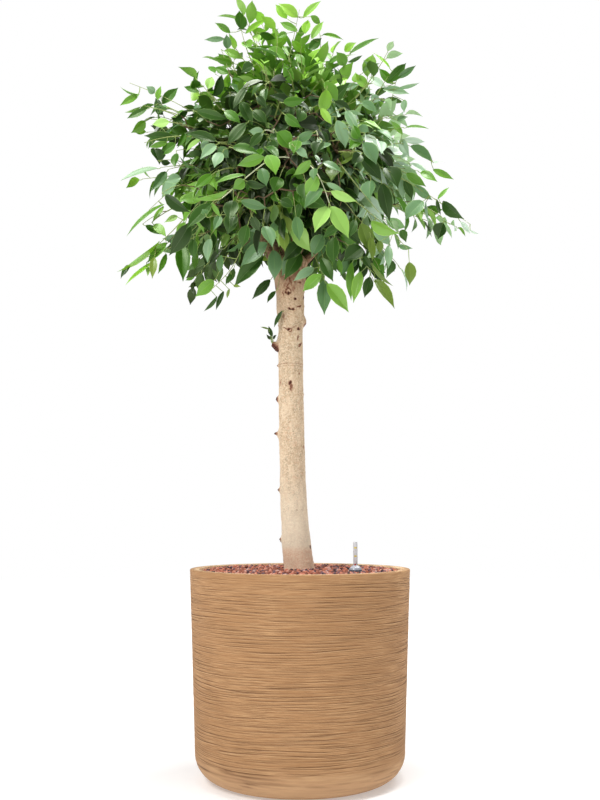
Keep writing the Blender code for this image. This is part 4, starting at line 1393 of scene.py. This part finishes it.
def leafSheet(columns, drop, slots):
    # a grid whose rows and columns are moved to a leaf's outline, one long and two wide
    settle()
    across = len(columns) - 1
    along = len(leaf["rows"]) - 1
    bpy.ops.mesh.primitive_grid_add(x_subdivisions=across, y_subdivisions=along, size=2)
    sheet = shapeNow()
    for index, column in enumerate(columns):
        level = -1 + 2 * index / across
        pick(sheet, "VERT", lambda spot: abs(spot.x - level) < 0.02 and abs(spot.z) < 0.5)
        bpy.ops.transform.translate(value=(column - level, 0, 1))
    pickAll()
    bpy.ops.transform.translate(value=(0, 0, -1))
    for index, (row, half) in enumerate(zip(leaf["rows"], leaf["halfWidths"])):
        level = -1 + 2 * index / along
        pick(sheet, "VERT", lambda spot: abs(spot.y - level) < 0.02 and spot.z < 0.5)
        bpy.ops.transform.resize(value=(half, 1, 1), center_override=(0, 0, 0))
        bpy.ops.transform.translate(value=(0, row - level, 1))
    pickAll()
    bpy.ops.transform.translate(value=(0, 0, -1))
    if drop:
        bpy.ops.mesh.flip_normals()
        pick(sheet, "VERT", lambda spot: abs(spot.x) < 0.01 and 0.01 < spot.y < 0.97)
        bpy.ops.transform.translate(value=(0, 0, -drop))
    bpy.ops.object.mode_set(mode="OBJECT")
    for name in ("leafFace", "leafRib", "leafUnder", "leafMargin"):
        sheet.data.materials.append(bpy.data.materials.get(name) or bpy.data.materials.new(name))
    for face in sheet.data.polygons:
        face.material_index = slots(face.index % across)
    return sheet


def leafModel():
    rib, margin = leaf["ribHalf"], leaf["margin"]
    columns = (-1, -margin, -0.5, -rib, rib, 0.5, margin, 1)
    top = leafSheet(columns, 0, lambda column: {0: 3, 3: 1, 6: 3}.get(column, 0))
    bottom = leafSheet((-1, 0, 1), leaf["under"], lambda column: 2)
    shape = joined(top, bottom)
    bpy.ops.object.mode_set(mode="EDIT")
    pickAll()
    bpy.ops.mesh.remove_doubles(threshold=0.0005)
    bpy.ops.object.mode_set(mode="OBJECT")
    points = pointsOf(shape.data)
    corners = [tuple(face.vertices) for face in shape.data.polygons]
    slots = [face.material_index for face in shape.data.polygons]
    bpy.data.objects.remove(shape)
    return points, corners, slots


leafPoints, leafCorners, leafSlots = leafModel()
fresher = {
    "deep": "mid", "mid": "leafy", "leafy": "fresh", "sheen": "sheen", "fresh": "lime", "lime": "lime",
    "silver": "silver", "pale": "pale", "olive": "olive",
}


def leavesAlong(each, dice):
    # alternate leaves of one shoot, spread to both sides and hanging more the lower it grows
    line = each["line"]
    whole = sum((after - before).length for before, after in zip(line, line[1:]))
    count = max(4, int(whole * (1 - leaf["bareFoot"]) / leaf["spacing"]))
    side = dice.choice((-1, 1))
    lean = blur(dice, leaf["lean"])
    found = []
    for index in range(count):
        share = min(1.0, leaf["bareFoot"] + (1 - leaf["bareFoot"]) * (index + 0.6) / count)
        where = share * (len(line) - 1)
        step = min(int(where), len(line) - 2)
        wood = line[step].lerp(line[step + 1], where - step)
        along = (line[step + 1] - line[step]).normalized()
        outward = (wood - heart).normalized()
        level = max(0.0, outward.z)
        facing = up * (0.45 + 0.65 * level) + outward * (0.78 - 0.35 * level)
        facing = (facing + lean + blur(dice, leaf["waver"])).normalized()
        sideways = along.cross(facing).normalized() * side
        side = -side
        last = share > leaf["lastFrom"]
        young = share > leaf["youngFrom"]
        droop = (0.26 - 0.50 * outward.z) * dice.uniform(0.4, 1.5)
        ahead = 1.5 if last else dice.uniform(0.6, 0.95)
        aside = 0.2 if last else dice.uniform(0.6, 1.0)
        turn = along * ahead + sideways * aside - up * droop
        direction = (turn + outward * 0.15 + blur(dice, leaf["stray"])).normalized()
        normal = (facing - direction * facing.dot(direction)).normalized()
        size = each["size"] * dice.uniform(*leaf["sizes"]) * (dice.uniform(*leaf["youngSize"]) if young else 1)
        kind = each["tone"]
        draw = dice.random()
        if kind != "deep" and draw < 0.10:
            kind = dice.choice(("mid", "sheen", "fresh"))
        elif young and draw < 0.42:
            kind = fresher[kind]
        elif share < leaf["oldTo"] and kind in ("fresh", "lime", "silver") and draw < 0.65:
            kind = "leafy"
        found.append({
            "wood": wood, "foot": wood + direction * leaf["stalk"] * size, "tone": kind, "calm": 1.0,
            "share": share, "direction": direction, "normal": normal, "arch": dice.uniform(*leaf["arches"]),
            "length": leaf["length"] * size * dice.uniform(*leaf["lengths"]),
            "width": leaf["width"] * size * dice.uniform(*leaf["widths"]),
        })
    return found


def upTo(line, share):
    # the part of a line that carries its kept leaves
    where = share * (len(line) - 1)
    step = min(int(where), len(line) - 2)
    return line[: step + 1] + [line[step].lerp(line[step + 1], max(0.2, where - step))]


def sproutLeaves():
    # the small sprout of the spur and the one leaf on the stem: foot, tip and half width in mm, tone
    places = (
        ((-61, -4, 870), (-79, -9, 876), 2, "olive"), ((-55, -3, 857), (-64, -6, 877), 5, "mid"),
        ((-59, -4, 850), (-67, -12, 858), 3, "deep"), ((-53, -4, 850), (-48, -10, 859), 4, "deep"),
        ((-56, 4, 852), (-62, 14, 862), 4, "mid"), ((-35, -27, 904), (-55, -24, 873), 6, "mid"),
    )
    bud = Vector(spurEnds()[1])
    facing = Vector((-0.5, -0.8, 0.4))
    found = []
    for foot, tip, half, kind in places:
        foot = Vector(foot) / 1000
        tip = Vector(tip) / 1000
        direction = (tip - foot).normalized()
        normal = (facing - direction * facing.dot(direction)).normalized()
        wood = bud if foot.y > -0.02 else Vector((-0.030, -0.021, 0.906))
        found.append({
            "wood": wood, "foot": foot, "tone": kind, "calm": 0.3, "arch": 0.3, "width": half / 1000,
            "length": (tip - foot).length * 1.02, "direction": direction, "normal": normal,
        })
    return found


# three shades of each tone; the sheen tone is the leaves' bluish green with painted sheen on it, and the
# palest, silvery tone is painted sheen of the light on the leaves
leafTones = {
    "deep": ((19, 38, 7), (25, 46, 10), (15, 32, 6)),
    "mid": ((40, 73, 20), (50, 87, 27), (32, 61, 16)),
    "olive": ((106, 132, 44), (94, 120, 38), (122, 146, 56)),
    "sheen": ((104, 144, 94), (134, 170, 126), (84, 124, 70)),
    "leafy": ((64, 114, 22), (76, 128, 28), (54, 100, 18)),
    "fresh": ((108, 160, 48), (124, 172, 62), (94, 144, 38)),
    "lime": ((134, 188, 50), (122, 176, 40), (148, 198, 68)),
    "pale": ((152, 196, 96), (166, 206, 116), (138, 184, 82)),
    "silver": ((178, 206, 180), (160, 192, 158), (200, 222, 200)),
}
# strength and colour of the shine, on the dark tones and on the others
shines = {True: (0.50, (0.86, 1.0, 0.66, 1)), False: (0.58, (0.95, 1.0, 0.93, 1))}
# how each side of a leaf comes from its tone: share kept, colour added, roughness
leafSides = {
    "Face": ((1, 1, 1), (0, 0, 0), 0.36), "Rib": ((0.8, 0.8, 0.8), (38, 44, 22), 0.45),
    "Under": ((0.74, 0.78, 0.76), (36, 42, 12), 0.6), "Margin": ((0.7, 0.7, 0.7), (64, 74, 38), 0.45),
}
# slot, tones and replaced masses of each piece
leafPieces = {
    "leaves_deep": ("leaf_deep", ("deep", "olive", "leafy"), ("_skirt_",)),
    "leaves_mid": ("leaf_mid", ("mid", "sheen"), ("_middle_", "_upper_", "_core", "sprout_tuft")),
    "leaves_fresh": ("leaf_fresh", ("fresh", "lime", "pale", "silver"), ("_crest_", "_spray_")),
}


def leafPaints(kind):
    # face, rib, underside and margin of each shade of a tone
    gloss, tint = shines[kind in ("deep", "mid", "leafy")]
    paints = []
    for number, shade in enumerate(leafTones[kind]):
        for side, (shares, more, rough) in leafSides.items():
            colour = [part * share + added for part, share, added in zip(shade, shares, more)]
            look = {"Base Color": colour, "Roughness": rough}
            if side == "Face":
                look.update({"Specular IOR Level": gloss, "Specular Tint": tint})
            paints.append(Paint(f"{kind}{side}{number + 1}", look))
    return paints


def shapeLeaves(placed, dice):
    # bends one leaf by each leaf's own fold, arch and twist, then sets it in place
    count = len(placed)
    length, width, arch, calm = [
        np.array([each[key] for each in placed])[:, None] for key in ("length", "width", "arch", "calm")
    ]
    fold, wave, phase = [
        np.array([dice.uniform(*leaf[key]) for each in placed])[:, None] for key in ("folds", "waves", "phases")
    ]
    twist = np.array([dice.gauss(0, leaf["twist"]) for each in placed])[:, None] * calm
    wave *= calm
    x, y, z = [np.repeat(leafPoints[None, :, axis], count, 0) for axis in range(3)]
    half = np.abs(x)
    lift = fold * half + leaf["bulge"] * half * (1 - half) * 2 + wave * half * np.sin(y * 8 + phase) + z
    angle = twist * y
    across = (x * np.cos(angle) - lift * np.sin(angle)) * width
    raised = (lift * np.cos(angle) + x * np.sin(angle)) * width
    bow = arch * y
    forward = length * np.sin(bow) / arch - raised * np.sin(bow)
    fall = -length * (1 - np.cos(bow)) / arch + raised * np.cos(bow)
    direction, normal, foot = [
        np.array([each[key] for each in placed])[:, None, :] for key in ("direction", "normal", "foot")
    ]
    sideways = np.cross(direction, normal)
    return foot + sideways * across[..., None] + direction * forward[..., None] + normal * fall[..., None]


def makeLeaves(placed, dice):
    print(f"{len(placed)} leaves of {len(leafCorners)} faces")
    shaped = shapeLeaves(placed, dice)
    groups = {name: [] for name in leafPieces}
    stalks = []
    for index, each in enumerate(placed):
        name, tones = next((name, row[1]) for name, row in leafPieces.items() if each["tone"] in row[1])
        shade = tones.index(each["tone"]) * 3 + dice.randrange(3)
        groups[name].append((index, shade * len(leafSides)))
        middle = (each["wood"] + each["foot"]) / 2 - up * 0.0012
        ending = each["foot"] + each["direction"] * 0.002
        stalks.append(([each["wood"], middle, ending], leaf["stalkRadii"]))
    for name, members in groups.items():
        slot, tones, parts = leafPieces[name]
        points = shaped[[index for index, shade in members]]
        slots = np.array([[shade + side for side in leafSlots] for index, shade in members])
        shape = joinedCopies(name, points, leafCorners, slots)
        paints = [paint for kind in tones for paint in leafPaints(kind)]
        replaced = [node for node in sorted(nodes) if any(part in node for part in parts)]
        finished(shape, name, paints, replaced, 60)
    stalk = Paint("leafStalk", {"Base Color": (140, 162, 82), "Roughness": 0.5})
    finished(tubes("leaf_stalks", stalks, 0), "leaf_stalks", [stalk])


def growCrown():
    dice = random.Random(crown["seed"])
    shoots = planShoots(dice)
    leaves = setHandLeaves(shoots, dice)
    print(f"crown: {len(shoots)} shoots, {len(leaves)} leaves placed one by one")
    handSet = [(seenAt(leafMiddle(each)), each["foot"].y) for each in leaves]
    kept = []
    for each in shoots:
        if each["leafy"]:
            grown = [one for one in leavesAlong(each, dice) if keepsClear(one, handSet, each["far"])]
            if not grown:
                continue
            leaves += grown
            each["line"] = upTo(each["line"], grown[-1]["share"])
        kept.append(each)
    makeBranches(kept, dice)
    makeLeaves(leaves + sproutLeaves(), dice)


growCrown()
